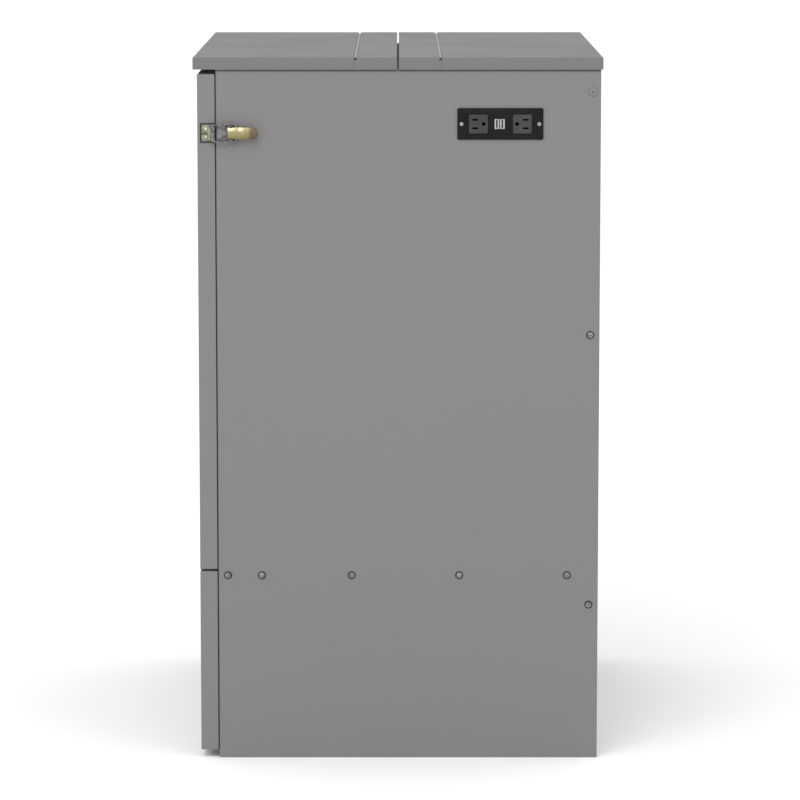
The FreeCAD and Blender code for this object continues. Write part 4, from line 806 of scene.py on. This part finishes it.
    def recess(self) -> None:
        """Painted shade in the door's recess, behind the strike: a dark pad over its floor and a dark strip
        along its edges as a painted shadow line.
        """
        low, high = (-294.6, self.height - 14.8), (-272.9, self.height + 14.8)
        # Painted shade: dark pad over the recess floor.
        pad = Form(self.name("recess_painted_shade_pad"), RECESS_SHADE_PAD)
        pad.drawn(Axis.X, rectangle(low, high), self.strike_face, self.strike_face + 0.25)
        pad.flipped(self.side).place("door", "black_plate")
        # Painted shadow: dark strip along the recess edges.
        strip = Form(self.name("recess_painted_shadow_edge"), SEAL)
        inside = rectangle((low[0] + 1.4, low[1] + 1.3), (high[0] + 0.0, high[1] - 1.3))
        ring = [low, (high[0], low[1]), inside[1], inside[0], inside[3], inside[2], high, (low[0], high[1])]
        strip.drawn(Axis.X, ring, self.strike_face, self.strike_face + 0.7)
        strip.flipped(self.side).place("door", "seal_foam")

    def build(self) -> None:
        """Make the latch's pieces."""
        self.recess()
        self.base()
        self.rivets()
        self.pivot_pin()
        self.lever()
        self.hook()
        self.strike()


# Screws ------------------------------------------------------------------------------------


@dataclass(frozen=True)
class PanelScrews:
    """Row of screws through a side panel."""

    side: Side
    label: str
    places: Sequence[Flat]
    slot: str
    node: str
    painted: bool = False
    wall: float = 377.0

    def build(self) -> None:
        """Make heads on sealing washers, or painted heads straight on the panel."""
        heads = Form(f"{self.side.word}_{self.label}", GREY if self.painted else SCREW_ZINC)
        domed = [(6.6, 0.0), (6.55, 0.7), (6.0, 1.4), (4.6, 2.1), (2.7, 2.5), (2.3, 2.55), (2.1, 2.3),
                 (2.0, 1.2), (0.0, 1.1)]
        pan = [(4.5, 0.7), (4.5, 1.5), (4.2, 2.1), (3.4, 2.5), (2.2, 2.6), (1.95, 2.5), (1.8, 1.3),
               (0.0, 1.2)]
        washers = Form(f"{self.side.word}_{self.label}_washers", RUBBER)
        for across, up in self.places:
            seat = (self.wall, across, up)
            heads.turned(Axis.X, seat, domed if self.painted else pan)
            if not self.painted:
                washers.turned(Axis.X, seat, [(6.0, 0.0), (6.0, 0.5), (5.6, 0.95), (4.6, 1.0), (3.0, 1.0)])
        heads.flipped(self.side).place("cabinet", self.slot, self.node)
        if not self.painted:
            washers.flipped(self.side).place("cabinet", "grommet_rubber")


# Outlet plate ------------------------------------------------------------------------------


@dataclass(frozen=True)
class OutletPlate:
    """Cover plate of the side outlet, with its port tongues and screws."""

    place_y: float = 152.3
    height: float = 963.5
    wall: float = 377.0
    out: float = 379.5
    face_back: float = 377.0
    face_front: float = 380.7

    def plate(self) -> None:
        """Cover plate with round shoulders and its openings."""
        form = Form("outlet_cover_plate", PLATE_BLACK)
        low, high = (self.place_y - 63.5, self.height - 23.0), (self.place_y + 63.5, self.height + 23.0)
        holes = [rectangle((self.place_y + shift - 14.15, self.height - 14.15),
                           (self.place_y + shift + 14.15, self.height + 14.15)) for shift in (-32.7, 32.7)]
        holes += [rectangle((self.place_y + shift - 4.3, self.height - 7.2),
                            (self.place_y + shift + 2.3, self.height + 7.2))
                  for shift in (-4.1, 4.1)]
        holes += [circle((self.place_y + shift, self.height), 1.6, 16) for shift in (-57.8, 57.8)]

        def outer_rim(edge: bmesh.types.BMEdge) -> bool:
            """Choose the plate's outer rim on its front."""
            middle = (edge.verts[0].co + edge.verts[1].co) * 0.5
            front = min(vert.co.x for vert in edge.verts) > (self.out - 0.01) * MM
            edge_y = abs(middle.y - self.place_y * MM) > 62.0 * MM
            return front and (edge_y or abs(middle.z - self.height * MM) > 21.5 * MM)

        form.drawn(Axis.X, rectangle(low, high, 2.0), self.wall, self.out, 0.9, holes, 3, outer_rim)
        form.place("cabinet", "black_plate", "outlet_faceplate")

    def seal(self) -> None:
        """Thin rubber seal that shows as a dark line round the plate."""
        form = Form("outlet_plate_seal", RUBBER)
        low, high = (self.place_y - 64.1, self.height - 23.6), (self.place_y + 64.1, self.height + 23.6)
        hole = rectangle((low[0] + 5.0, low[1] + 5.0), (high[0] - 5.0, high[1] - 5.0))
        form.drawn(Axis.X, rectangle(low, high, 2.4), self.wall, self.wall + 0.7, 0.0, [hole])
        form.place("cabinet", "grommet_rubber")

    def faces(self) -> None:
        """Receptacle faces with two blade slots and an earth opening each."""
        form = Form("receptacle_face_plates", SOCKET_GREY)
        for way in (-1.0, 1.0):
            middle = self.place_y + way * 32.7
            slot = middle + way * 5.0
            openings = [rectangle((slot - 4.2, self.height + up - 1.4), (slot + 4.2, self.height + up + 1.4))
                        for up in (-6.3, 6.3)]
            openings.append(circle((middle - way * 7.8, self.height), 2.9, 20))
            outline = rectangle((middle - 14.0, self.height - 14.0), (middle + 14.0, self.height + 14.0),
                                1.4)
            form.drawn(Axis.X, outline, self.face_back, self.face_front, 0.3, openings)
        form.place("cabinet", "receptacle_grey", "receptacle_faces")

    def tongues(self) -> None:
        """Plastic tongue with contacts in each port."""
        plastic = Form("usb_port_tongues", HOUSING_BLACK)
        gold = Form("usb_port_contacts", CONTACT_GOLD)
        for shift in (-4.1, 4.1):
            middle = self.place_y + shift - 1.0
            plastic.block((371.0, middle - 1.0, self.height - 5.8), (378.5, middle + 1.0, self.height + 5.8),
                          0.25)
            for step in range(4):
                up = self.height - 3.9 + 2.6 * step
                gold.block((372.5, middle + 0.95, up - 0.45), (378.2, middle + 1.1, up + 0.45))
        plastic.place("cabinet", "black_plate")
        gold.place("cabinet", "port_metal")

    def screws(self) -> None:
        """Oval slotted screws at the plate's ends."""
        form = Form("outlet_plate_screws", PLATE_SCREW)
        for shift in (-57.8, 57.8):
            middle = self.place_y + shift
            for way in (-1.0, 1.0):
                half = [(middle + way * 0.4, self.height + 2.86), (middle + way * 0.4, self.height - 2.86)]
                bow = arc((middle, self.height), 2.9, -82.0, 82.0, 12)
                if way < 0.0:
                    bow = [(2.0 * middle - point[0], point[1]) for point in bow]
                form.drawn(Axis.X, [*half[1:], *bow, *half[:1]], self.out, self.out + 1.1, 0.35, (), 3)
            form.rod(Axis.X, (self.out - 0.6, middle, self.height), 1.05, 2.7)
        form.place("cabinet", "screw_steel", "faceplate_screws")

    def build(self) -> None:
        """Make the plate's pieces."""
        self.seal()
        self.plate()
        self.faces()
        self.tongues()
        self.screws()


# Sheet metal details -----------------------------------------------------------------------


@dataclass(frozen=True)
class VentHoods:
    """Pressed hoods over the slots in the rear panel."""

    rows: int = 6
    low: float = 860.0
    pitch: float = 16.0
    half: float = 92.0
    centre: float = 135.0
    face: float = 302.0

    def build(self) -> None:
        """Make two columns of hoods that open downwards."""
        form = Form("rear_vent_hoods", GREY)
        for row in range(self.rows):
            up = self.low + row * self.pitch
            face = self.face
            skin = [(face - 0.2, up + 9.6), (face + 0.9, up + 8.6), (face + 2.0, up + 6.4),
                    (face + 2.7, up + 3.4),
                    (face + 2.9, up + 0.4), (face + 2.0, up + 0.4), (face + 1.7, up + 3.2),
                    (face + 1.0, up + 5.7),
                    (face - 0.2, up + 7.4)]
            cheek = [*skin[:5], (face - 0.2, up + 0.4)]
            for centre in (-self.centre, self.centre):
                form.drawn(Axis.X, skin, centre - self.half, centre + self.half, 0.25)
                for start in (centre - self.half, centre + self.half - 1.0):
                    form.drawn(Axis.X, cheek, start, start + 1.0, 0.2)
        form.place("cabinet", "grey_paint")


@dataclass(frozen=True)
class HatStiffener:
    """Hat channel spot-welded inside a panel."""

    name: str
    body: str
    axis: Axis
    section: Sequence[Flat]
    start: float
    end: float
    finish: Finish
    slot: str = "grey_paint"

    def build(self) -> None:
        """Make the channel."""
        form = Form(self.name, self.finish)
        form.drawn(self.axis, self.section, self.start, self.end, 0.4)
        form.place(self.body, self.slot)


def hat(centre: float, seat: float, depth: float, foot: float = 26.0, crown: float = 13.0,
        thick: float = 1.2) -> list[Flat]:
    """Section of a hat channel.

    Args:
        centre: middle of the channel along the panel.
        seat: panel face that its feet lie on.
        depth: height of the crown off the seat; negative stands it the other way.
        foot: half width over the feet.
        crown: half width of the crown.
        thick: sheet thickness.

    Returns:
        Points as (along the panel, off the panel).
    """
    way = math.copysign(1.0, depth)
    outer = [(-foot, 0.0), (-foot, thick), (-crown - 4.0, thick), (-crown, abs(depth)), (crown, abs(depth)),
             (crown + 4.0, thick), (foot, thick), (foot, 0.0)]
    inner = [(crown + 3.0, 0.0), (crown - 1.0, abs(depth) - thick), (-crown + 1.0, abs(depth) - thick),
             (-crown - 3.0, 0.0)]
    return [(centre + along, seat + way * off) for along, off in (*outer, *inner)]


@dataclass(frozen=True)
class CableGrommet:
    """Rubber grommet in the rear panel, with a ribbed collar."""

    centre: Flat = (-290.0, 345.0)

    def build(self) -> None:
        """Turn the grommet's section about its own hole."""
        form = Form("cable_entry_grommet", RUBBER)
        section = [(12.0, -4.2), (24.6, -4.4), (26.0, -3.6), (26.0, -2.2), (24.8, -2.0), (20.0, -2.0),
                   (20.0, 0.0),
                   (24.8, 0.0), (26.0, 0.3), (26.0, 1.5), (25.0, 2.3), (19.0, 2.4), (18.2, 1.8), (17.2, 2.4),
                   (13.2, 2.4),
                   (12.2, 1.9), (12.0, 1.2), (12.0, -4.2)]
        form.turned(Axis.Y, (self.centre[0], 302.0, self.centre[1]), section, 48)
        form.place("cabinet", "grommet_rubber", "cable_grommet")


# Contents ----------------------------------------------------------------------------------


@dataclass(frozen=True)
class Battery:
    """Sealed battery with a ribbed case, stepped lid, vent bars and rope handles."""

    number: int
    centre: float
    base: float = 2.0

    def case(self) -> None:
        """Ribbed case, lid with a shadow line, and vent bars."""
        form = Form(f"battery_{self.number}_case", CASE_BLACK)
        low, high = self.centre - 86.0, self.centre + 86.0
        form.block((low, -164.0, self.base), (high, 164.0, 182.0), 5.0, 3)
        form.block((low + 2.0, -162.0, 180.0), (high - 2.0, 162.0, 186.0))
        form.block((low - 0.4, -164.8, 184.0), (high + 0.4, 164.8, 212.0), 4.0, 3)
        form.block((low + 12.0, -118.0, 210.0), (high - 12.0, 118.0, 215.9), 2.0)
        for side in (-1.0, 1.0):
            for step in range(9):
                across = -128.0 + 32.0 * step
                start = self.centre + side * 85.0
                form.block((min(start, start + side * 1.5), across - 3.0, 14.0),
                           (max(start, start + side * 1.5), across + 3.0, 172.0), 0.7)
            for step in range(5):
                left = self.centre - 60.0 + 30.0 * step
                form.block((left - 3.0, min(side * 163.0, side * 165.0), 14.0),
                           (left + 3.0, max(side * 163.0, side * 165.0), 172.0), 0.7)
        form.place("cabinet", "battery_case", f"battery_{self.number}")

    def handles(self) -> None:
        """Rope handle folded down at each end."""
        form = Form(f"battery_{self.number}_handles", CABLE_BLACK)
        for side in (-1.0, 1.0):
            outside = side * 168.4
            loop = [(self.centre + across, outside, 196.0 + 6.0 * math.cos(math.pi * across / 52.0) - 18.0 *
                     math.cos(math.pi * across / 104.0)) for across in range(-52, 53, 8)]
            form.swept(loop, 3.0)
            for across in (-52.0, 52.0):
                form.block((self.centre + across - 6.0, min(side * 163.0, side * 171.5), 186.0),
                           (self.centre + across + 6.0, max(side * 163.0, side * 171.5), 204.0), 1.5)
        form.place("cabinet", "battery_case")

    def build(self) -> None:
        """Make the battery."""
        self.case()
        self.handles()


@dataclass(frozen=True)
class TerminalHardware:
    """Tapered posts with a bolt, washer and nut over the links."""

    centres: Sequence[float]
    ends: Sequence[float] = (-130.0, 130.0)

    def build(self) -> None:
        """Make posts and the fixings above the links."""
        posts = Form("battery_posts", LEAD)
        fixings = Form("terminal_fixings", BRIGHT_ZINC)
        for centre in self.centres:
            for across in self.ends:
                posts.turned(Axis.Z, (centre, across, 212.0),
                             [(13.0, 0.0), (13.0, 3.6), (12.0, 5.0), (9.0, 5.2), (8.0, 7.0),
                                                                (7.4, 19.4), (6.8, 20.0), (0.0, 20.0)])
                fixings.turned(Axis.Z, (centre, across, 235.0),
                               [(7.4, 0.0), (7.4, 1.2), (7.0, 1.5), (3.0, 1.5)])
                fixings.rod(Axis.Z, (centre, across, 236.4), 5.0, 5.8, soft=0.5, sides=6)
                fixings.rod(Axis.Z, (centre, across, 241.0), 3.2, 3.0, tip=2.6, soft=0.3)
        posts.place("cabinet", "terminal_lead", "battery_terminals")
        fixings.place("cabinet", "zinc_plate")


@dataclass(frozen=True)
class Inverter:
    """Details on the inverter: bezel, fan guard, glands, feet and status lamps."""

    front: float = 161.0
    fan_centre: Flat = (0.0, 624.0)
    half: float = 150.0
    base: float = 294.0
    top: float = 714.0

    def bezel(self) -> None:
        """Raised front panel with an opening for the fan."""
        form = Form("inverter_front_panel", INVERTER_FACE)
        hole = circle((self.fan_centre[1], self.fan_centre[0]), 41.5, 56)
        form.drawn(Axis.Y, rectangle((self.base + 12.0, -self.half + 10.0),
                                     (self.top - 12.0, self.half - 10.0), 8.0),
                   self.front - 2.5, self.front + 0.2, 0.8, [hole])
        form.place("cabinet", "inverter_paint")

    def guard(self) -> None:
        """Wire finger guard: rings joined by four spokes."""
        form = Form("inverter_fan_guard", BRIGHT_ZINC)
        out = self.front - 4.0
        for radius in (12.0, 19.5, 27.0, 34.5, 42.0):
            ring = [(point[0], out, point[1]) for point in arc(self.fan_centre, radius, 0.0, 360.0, 56)]
            form.swept(ring, 0.8, 8)
        for turn in (45.0, 135.0, 225.0, 315.0):
            spoke = [(point[0], out + 1.3, point[1]) for radius in (8.0, 25.0, 43.0, 50.0)
                     for point in arc(self.fan_centre, radius, turn, turn, 1)[:1]]
            form.swept(spoke, 0.9, 8)
            end = arc(self.fan_centre, 50.0, turn, turn, 1)[0]
            form.rod(Axis.Y, (end[0], self.front - 2.3, end[1]), -2.2, 3.6, soft=0.6, sides=24)
        form.rod(Axis.Y, (self.fan_centre[0], out + 1.0, self.fan_centre[1]), -1.4, 9.0, soft=0.4)
        form.place("cabinet", "zinc_plate")

    def controls(self) -> None:
        """Lamp row, rocker switch and dial below the fan."""
        dark = Form("inverter_controls", HOUSING_BLACK)
        seat = self.front - 2.4
        dark.block((-62.0, seat - 1.6, 500.0), (62.0, seat + 0.4, 548.0), 1.0)
        dark.block((30.0, seat - 4.6, 512.0), (52.0, seat - 1.0, 536.0), 1.6, 3)
        dark.turned(Axis.Y, (-34.0, seat - 1.4, 524.0),
                    [(14.0, 0.0), (14.0, -1.4), (11.5, -2.4), (10.5, -9.0), (9.5, -10.2),
                                                         (0.0, -10.4)], 40)
        dark.place("cabinet", "black_plate")
        lamps = Form("inverter_lamps", LAMP_GREEN)
        for step in range(3):
            lamps.turned(Axis.Y, (-6.0 + 10.0 * step, seat - 1.4, 524.0),
                         [(2.6, 0.0), (2.6, -0.8), (2.2, -1.6), (1.2, -2.2), (0.0, -2.4)], 24)
        lamps.place("cabinet", "toggle_plastic")

    def vents(self) -> None:
        """Pressed ribs across the lower front."""
        form = Form("inverter_front_ribs", INVERTER_COAT)
        for step in range(9):
            up = 336.0 + 14.0 * step
            form.block((-104.0, self.front - 5.0, up), (104.0, self.front - 2.3, up + 5.0), 1.3, 3)
        form.place("cabinet", "inverter_paint")

    def fixings(self) -> None:
        """Corner screws, feet and cable glands."""
        form = Form("inverter_screws", SCREW_ZINC)
        head = [(4.2, 0.0), (4.2, -0.9), (3.6, -1.8), (2.2, -2.4), (1.7, -2.3), (1.5, -1.3), (0.0, -1.2)]
        for across in (-128.0, 128.0):
            for up in (318.0, 504.0, 690.0):
                form.turned(Axis.Y, (across, self.front - 2.4, up), head, 28)
        for side in (-1.0, 1.0):
            for across in (186.0, 266.0):
                form.rod(Axis.Z, (side * 162.0, across, self.base + 3.0), 3.4, 5.6, soft=0.5, sides=6)
        form.place("cabinet", "screw_steel")
        feet = Form("inverter_feet", INVERTER_COAT)
        for side in (-1.0, 1.0):
            for across in (172.0, 252.0):
                low, high = sorted((side * 149.0, side * 174.0))
                feet.block((low, across, self.base), (high, across + 28.0, self.base + 3.0), 0.8)
        feet.place("cabinet", "inverter_paint")
        glands = Form("inverter_cable_glands", HOUSING_BLACK)
        for across, up, radius in ((255.0, 596.0, 5.7), (215.0, 362.0, 5.7)):
            glands.rod(Axis.X, (self.half - 0.5, across, up), 6.0, 11.5, soft=0.8, sides=6)
            glands.turned(Axis.X, (self.half + 5.0, across, up),
                          [(9.8, 0.0), (9.8, 7.0), (9.0, 8.4), (radius, 9.6)], 32)
        glands.rod(Axis.Z, (100.0, 176.3, self.top - 1.0), 6.0, 8.5, soft=0.6, sides=6)
        glands.turned(Axis.Z, (100.0, 176.3, self.top + 4.5),
                      [(7.4, 0.0), (7.4, 5.0), (6.6, 6.2), (4.1, 7.2)], 32)
        glands.place("cabinet", "black_plate")

    def build(self) -> None:
        """Make the inverter's details."""
        self.bezel()
        self.guard()
        self.controls()
        self.vents()
        self.fixings()


@dataclass(frozen=True)
class Fan:
    """Axial fan with twisted, swept blades."""

    centre: Point = (0.0, 172.0, 624.0)
    blades: int = 7
    hub: float = 13.0
    reach: float = 37.6

    def section(self, share: float, turn: float) -> list[Vector]:
        """Four corners of a blade at one radius.

        Args:
            share: 0 at the hub and 1 at the tip.
            turn: angle of the blade in radians.

        Returns:
            Points in metres, round the blade's section.
        """
        radius = self.hub - 1.5 + (self.reach - self.hub + 1.5) * share
        half_depth = 7.0 - 1.2 * share
        half_turn = (0.36 - 0.04 * share) * (1.0 if share else 0.9)
        lean = turn + 0.30 * share * share
        thick = 0.9 - 0.4 * share
        corners = []
        for ahead, off in ((-1.0, -thick), (-1.0, thick), (1.0, thick), (1.0, -thick)):
            angle = lean + ahead * half_turn
            depth = ahead * half_depth + off
            corners.append(Vector((self.centre[0] + radius * math.cos(angle), self.centre[1] + depth,
                                   self.centre[2] + radius * math.sin(angle))) * MM)
        return corners

    def build(self) -> None:
        """Make the hub and blades."""
        form = Form("inverter_fan_rotor", FAN_BLACK)
        form.turned(Axis.Y, self.centre,
                    [(0.0, -7.9), (10.6, -7.9), (12.4, -7.2), (self.hub, -5.6), (self.hub, 7.8),
                                          (11.0, 7.9), (0.0, 7.9)], 48)
        for blade in range(self.blades):
            rings = [[form.mesh.verts.new(corner) for corner in self.section(step / 6.0,
                                                                             math.tau * blade / self.blades)]
                     for step in range(7)]
            for first, second in zip(rings, rings[1:]):
                for index in range(4):
                    form.mesh.faces.new((first[index - 1], first[index], second[index], second[index - 1]))
            form.mesh.faces.new(rings[0])
            form.mesh.faces.new(rings[-1])
        bmesh.ops.recalc_face_normals(form.mesh, faces=form.mesh.faces)
        form.place("fan_rotor", "fan_plastic", "inverter_fan")


@dataclass(frozen=True)
class Breaker:
    """Details on the breaker and its shaped toggle."""

    centre: Point = (220.0, 244.0, 486.0)
    front: float = 238.0

    def build(self) -> None:
        """Make the collar, terminal screws, mounting lugs and toggle."""
        across, depth, up = self.centre
        collar = Form("breaker_collar", BREAKER_BLACK)
        opening = rectangle((up - 9.4, across - 7.0), (up + 9.4, across + 7.0), 1.0)
        collar.drawn(Axis.Y, rectangle((up - 17.0, across - 14.0), (up + 17.0, across + 14.0), 2.5),
                     self.front - 2.2,
                     self.front + 0.2, 0.6, [opening])
        for rise in (-34.0, 34.0):
            collar.block((across - 13.0, self.front - 1.2, up + rise - 5.5),
                         (across + 13.0, self.front + 0.4,
                                                                              up + rise + 5.5), 0.6)
        collar.place("cabinet", "breaker_plastic")
        screws = Form("breaker_terminal_screws", CONTACT_GOLD)
        for rise in (-34.0, 34.0):
            for shift in (-7.0, 7.0):
                screws.turned(Axis.Y, (across + shift, self.front - 1.1, up + rise),
                              [(3.4, 0.0), (3.4, -0.6), (2.8, -1.2), (1.4, -1.3), (1.2, -0.5), (0.0, -0.4)],
                              24)
        screws.place("cabinet", "yellow_zinc")
        toggle = Form("breaker_toggle_handle", TOGGLE_RED)
        toggle.rod(Axis.X, (across - 5.9, depth, up), 11.8, 7.9, soft=0.5, sides=40)
        tip = depth - 17.0
        stick = [(depth, up - 4.2), (depth, up + 4.2), (tip + 4.0, up + 2.2), (tip + 0.6, up + 2.5),
                 (tip, up + 1.6), (tip, up - 1.6), (tip + 0.6, up - 2.5), (tip + 4.0, up - 2.2)]
        toggle.drawn(Axis.X, stick, across - 5.6, across + 5.6, 0.7, (), 3)
        toggle.place("toggle", "toggle_plastic", "breaker_toggle")


@dataclass(frozen=True)
class CableEnds:
    """Crimped lugs and heat-shrink sleeves on the battery cables."""

    def build(self) -> None:
        """Make the lugs on the links and the sleeves by the breaker."""
        lugs = Form("cable_lugs", COPPER)
        red = Form("cable_sleeves_red", CABLE_RED)
        black = Form("cable_sleeves_black", CABLE_BLACK)
        for across, start, sleeve in ((213.0, -139.0, red), (186.0, 121.0, black)):
            lugs.rod(Axis.Y, (across, start - 3.0, 240.5), 18.0, 6.6, soft=0.6)
            sleeve.rod(Axis.Y, (across, start + 14.0, 240.5), 22.0, 6.3, soft=0.5)
        red.rod(Axis.Z, (213.0, 255.0, 443.5), -20.0, 6.4, soft=0.5)
        red.rod(Axis.Z, (220.0, 255.0, 528.5), 20.0, 6.4, soft=0.5)
        lugs.place("cabinet", "link_copper")
        red.place("cabinet", "red_cable")
        black.place("cabinet", "black_cable")


def all_parts() -> list[Any]:
    """List every detailed part, in the order that it is made."""
    rear = [(288.0, 236.3), (288.0, 647.0)]
    row = [(place, 281.4) for place in (-256.7, -205.5, -70.0, 92.5, 255.0)]
    parts: list[Any] = []
    for side in Side:
        parts += [DrawLatch(side),
                  PanelScrews(side, "shelf_screw_heads", row, "screw_steel", "shelf_screws"),
                  PanelScrews(side, "rear_screw_heads", rear, "screw_steel", "rear_panel_screws"),
                  PanelScrews(side, "corner_screw_heads", [(290.0, 1011.0)], "grey_paint", "corner_screws",
                              True)]
    parts += [OutletPlate(), VentHoods(), CableGrommet(), Inverter(), Fan(), Breaker(), CableEnds()]
    door_seat, lid_seat = -297.3, 1061.0
    for index, across in enumerate((-170.0, 170.0)):
        section = hat(across, door_seat, 13.0)
        parts.append(HatStiffener(f"door_stiffener_{index + 1}", "door", Axis.Z, section, 318.0, 1012.0,
                                  GREY))
    for name, body, centre in (("front", "front_lid", -183.0), ("rear", "rear_lid", 183.0)):
        section = hat(centre, lid_seat, -11.0)
        parts.append(HatStiffener(f"{name}_lid_stiffener", body, Axis.X, section, -316.0, 316.0, GREY_LID_PAINTED_SHADE))
    centres = [-277.5, -92.5, 92.5, 277.5]
    parts += [Battery(index + 1, centre) for index, centre in enumerate(centres)]
    parts.append(TerminalHardware(centres))
    return parts


# Stage -------------------------------------------------------------------------------------


@dataclass
class Stage:
    """Floor, lights and camera."""

    floor_half: float = 40.0
    camera_place: Point = (6.377, 0.0003, 1.3934)
    camera_pitch: float = 8.013
    camera_yaw: float = -0.026
    camera_lens: float = 181.55
    sky: float = 1.12

    def floor(self) -> None:
        """Plain pale floor."""
        mesh = bpy.data.meshes.new("floor")
        shape = bmesh.new()
        bmesh.ops.create_grid(shape, x_segments=1, y_segments=1, size=self.floor_half)
        shape.to_mesh(mesh)
        shape.free()
        thing = bpy.data.objects.new("floor", mesh)
        bpy.context.scene.collection.objects.link(thing)
        graph = Graph("floor_pale")
        graph.set(Base_Color=(0.93, 0.93, 0.93), Roughness=0.95, Specular_IOR_Level=0.0)
        mesh.materials.append(graph.material)

    def world(self) -> None:
        """Even pale surroundings."""
        world = bpy.data.worlds.new("studio")
        world.use_nodes = True
        back = world.node_tree.nodes["Background"]
        back.inputs["Color"].default_value = (1.0, 1.0, 1.0, 1.0)
        back.inputs["Strength"].default_value = self.sky
        bpy.context.scene.world = world

    def light(self, name: str, place: Point, size: float, power: float) -> None:
        """Add a soft square light that faces the box.

        Args:
            name: name of the light.
            place: where it stands, in metres.
            size: side of the square.
            power: watts.
        """
        data = bpy.data.lights.new(name, "AREA")
        data.shape = "SQUARE"
        data.size = size
        data.energy = power
        lamp = bpy.data.objects.new(name, data)
        bpy.context.scene.collection.objects.link(lamp)
        lamp.location = place
        lamp.rotation_euler = (Vector((0.0, 0.0, 0.55)) - Vector(place)).to_track_quat("-Z", "Y").to_euler()

    def camera(self) -> None:
        """Camera that looks at the right side, slightly downwards."""
        data = bpy.data.cameras.new("camera")
        data.lens = self.camera_lens
        data.sensor_width = 36.0
        data.clip_end = 100.0
        thing = bpy.data.objects.new("camera", data)
        bpy.context.scene.collection.objects.link(thing)
        thing.location = self.camera_place
        thing.rotation_euler = (math.radians(90.0 - self.camera_pitch), 0.0,
                                math.radians(90.0 + self.camera_yaw))
        bpy.context.scene.camera = thing
        bpy.context.scene.view_settings.view_transform = "Standard"

    def build(self) -> None:
        """Make the stage."""
        self.floor()
        self.world()
        self.light("key", (4.2, -1.6, 4.4), 3.0, 95.0)
        self.light("fill", (3.6, 3.4, 2.2), 3.0, 20.0)
        self.camera()


def main() -> None:
    """Build everything and report each part."""
    logging.basicConfig(level=logging.INFO, format="%(name)s: %(message)s")
    Stage().build()
    dress_nodes()
    LOG.info("dressed %d nodes", len(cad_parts))
    for part in all_parts():
        part.build()


if __name__ == "__main__":
    main()
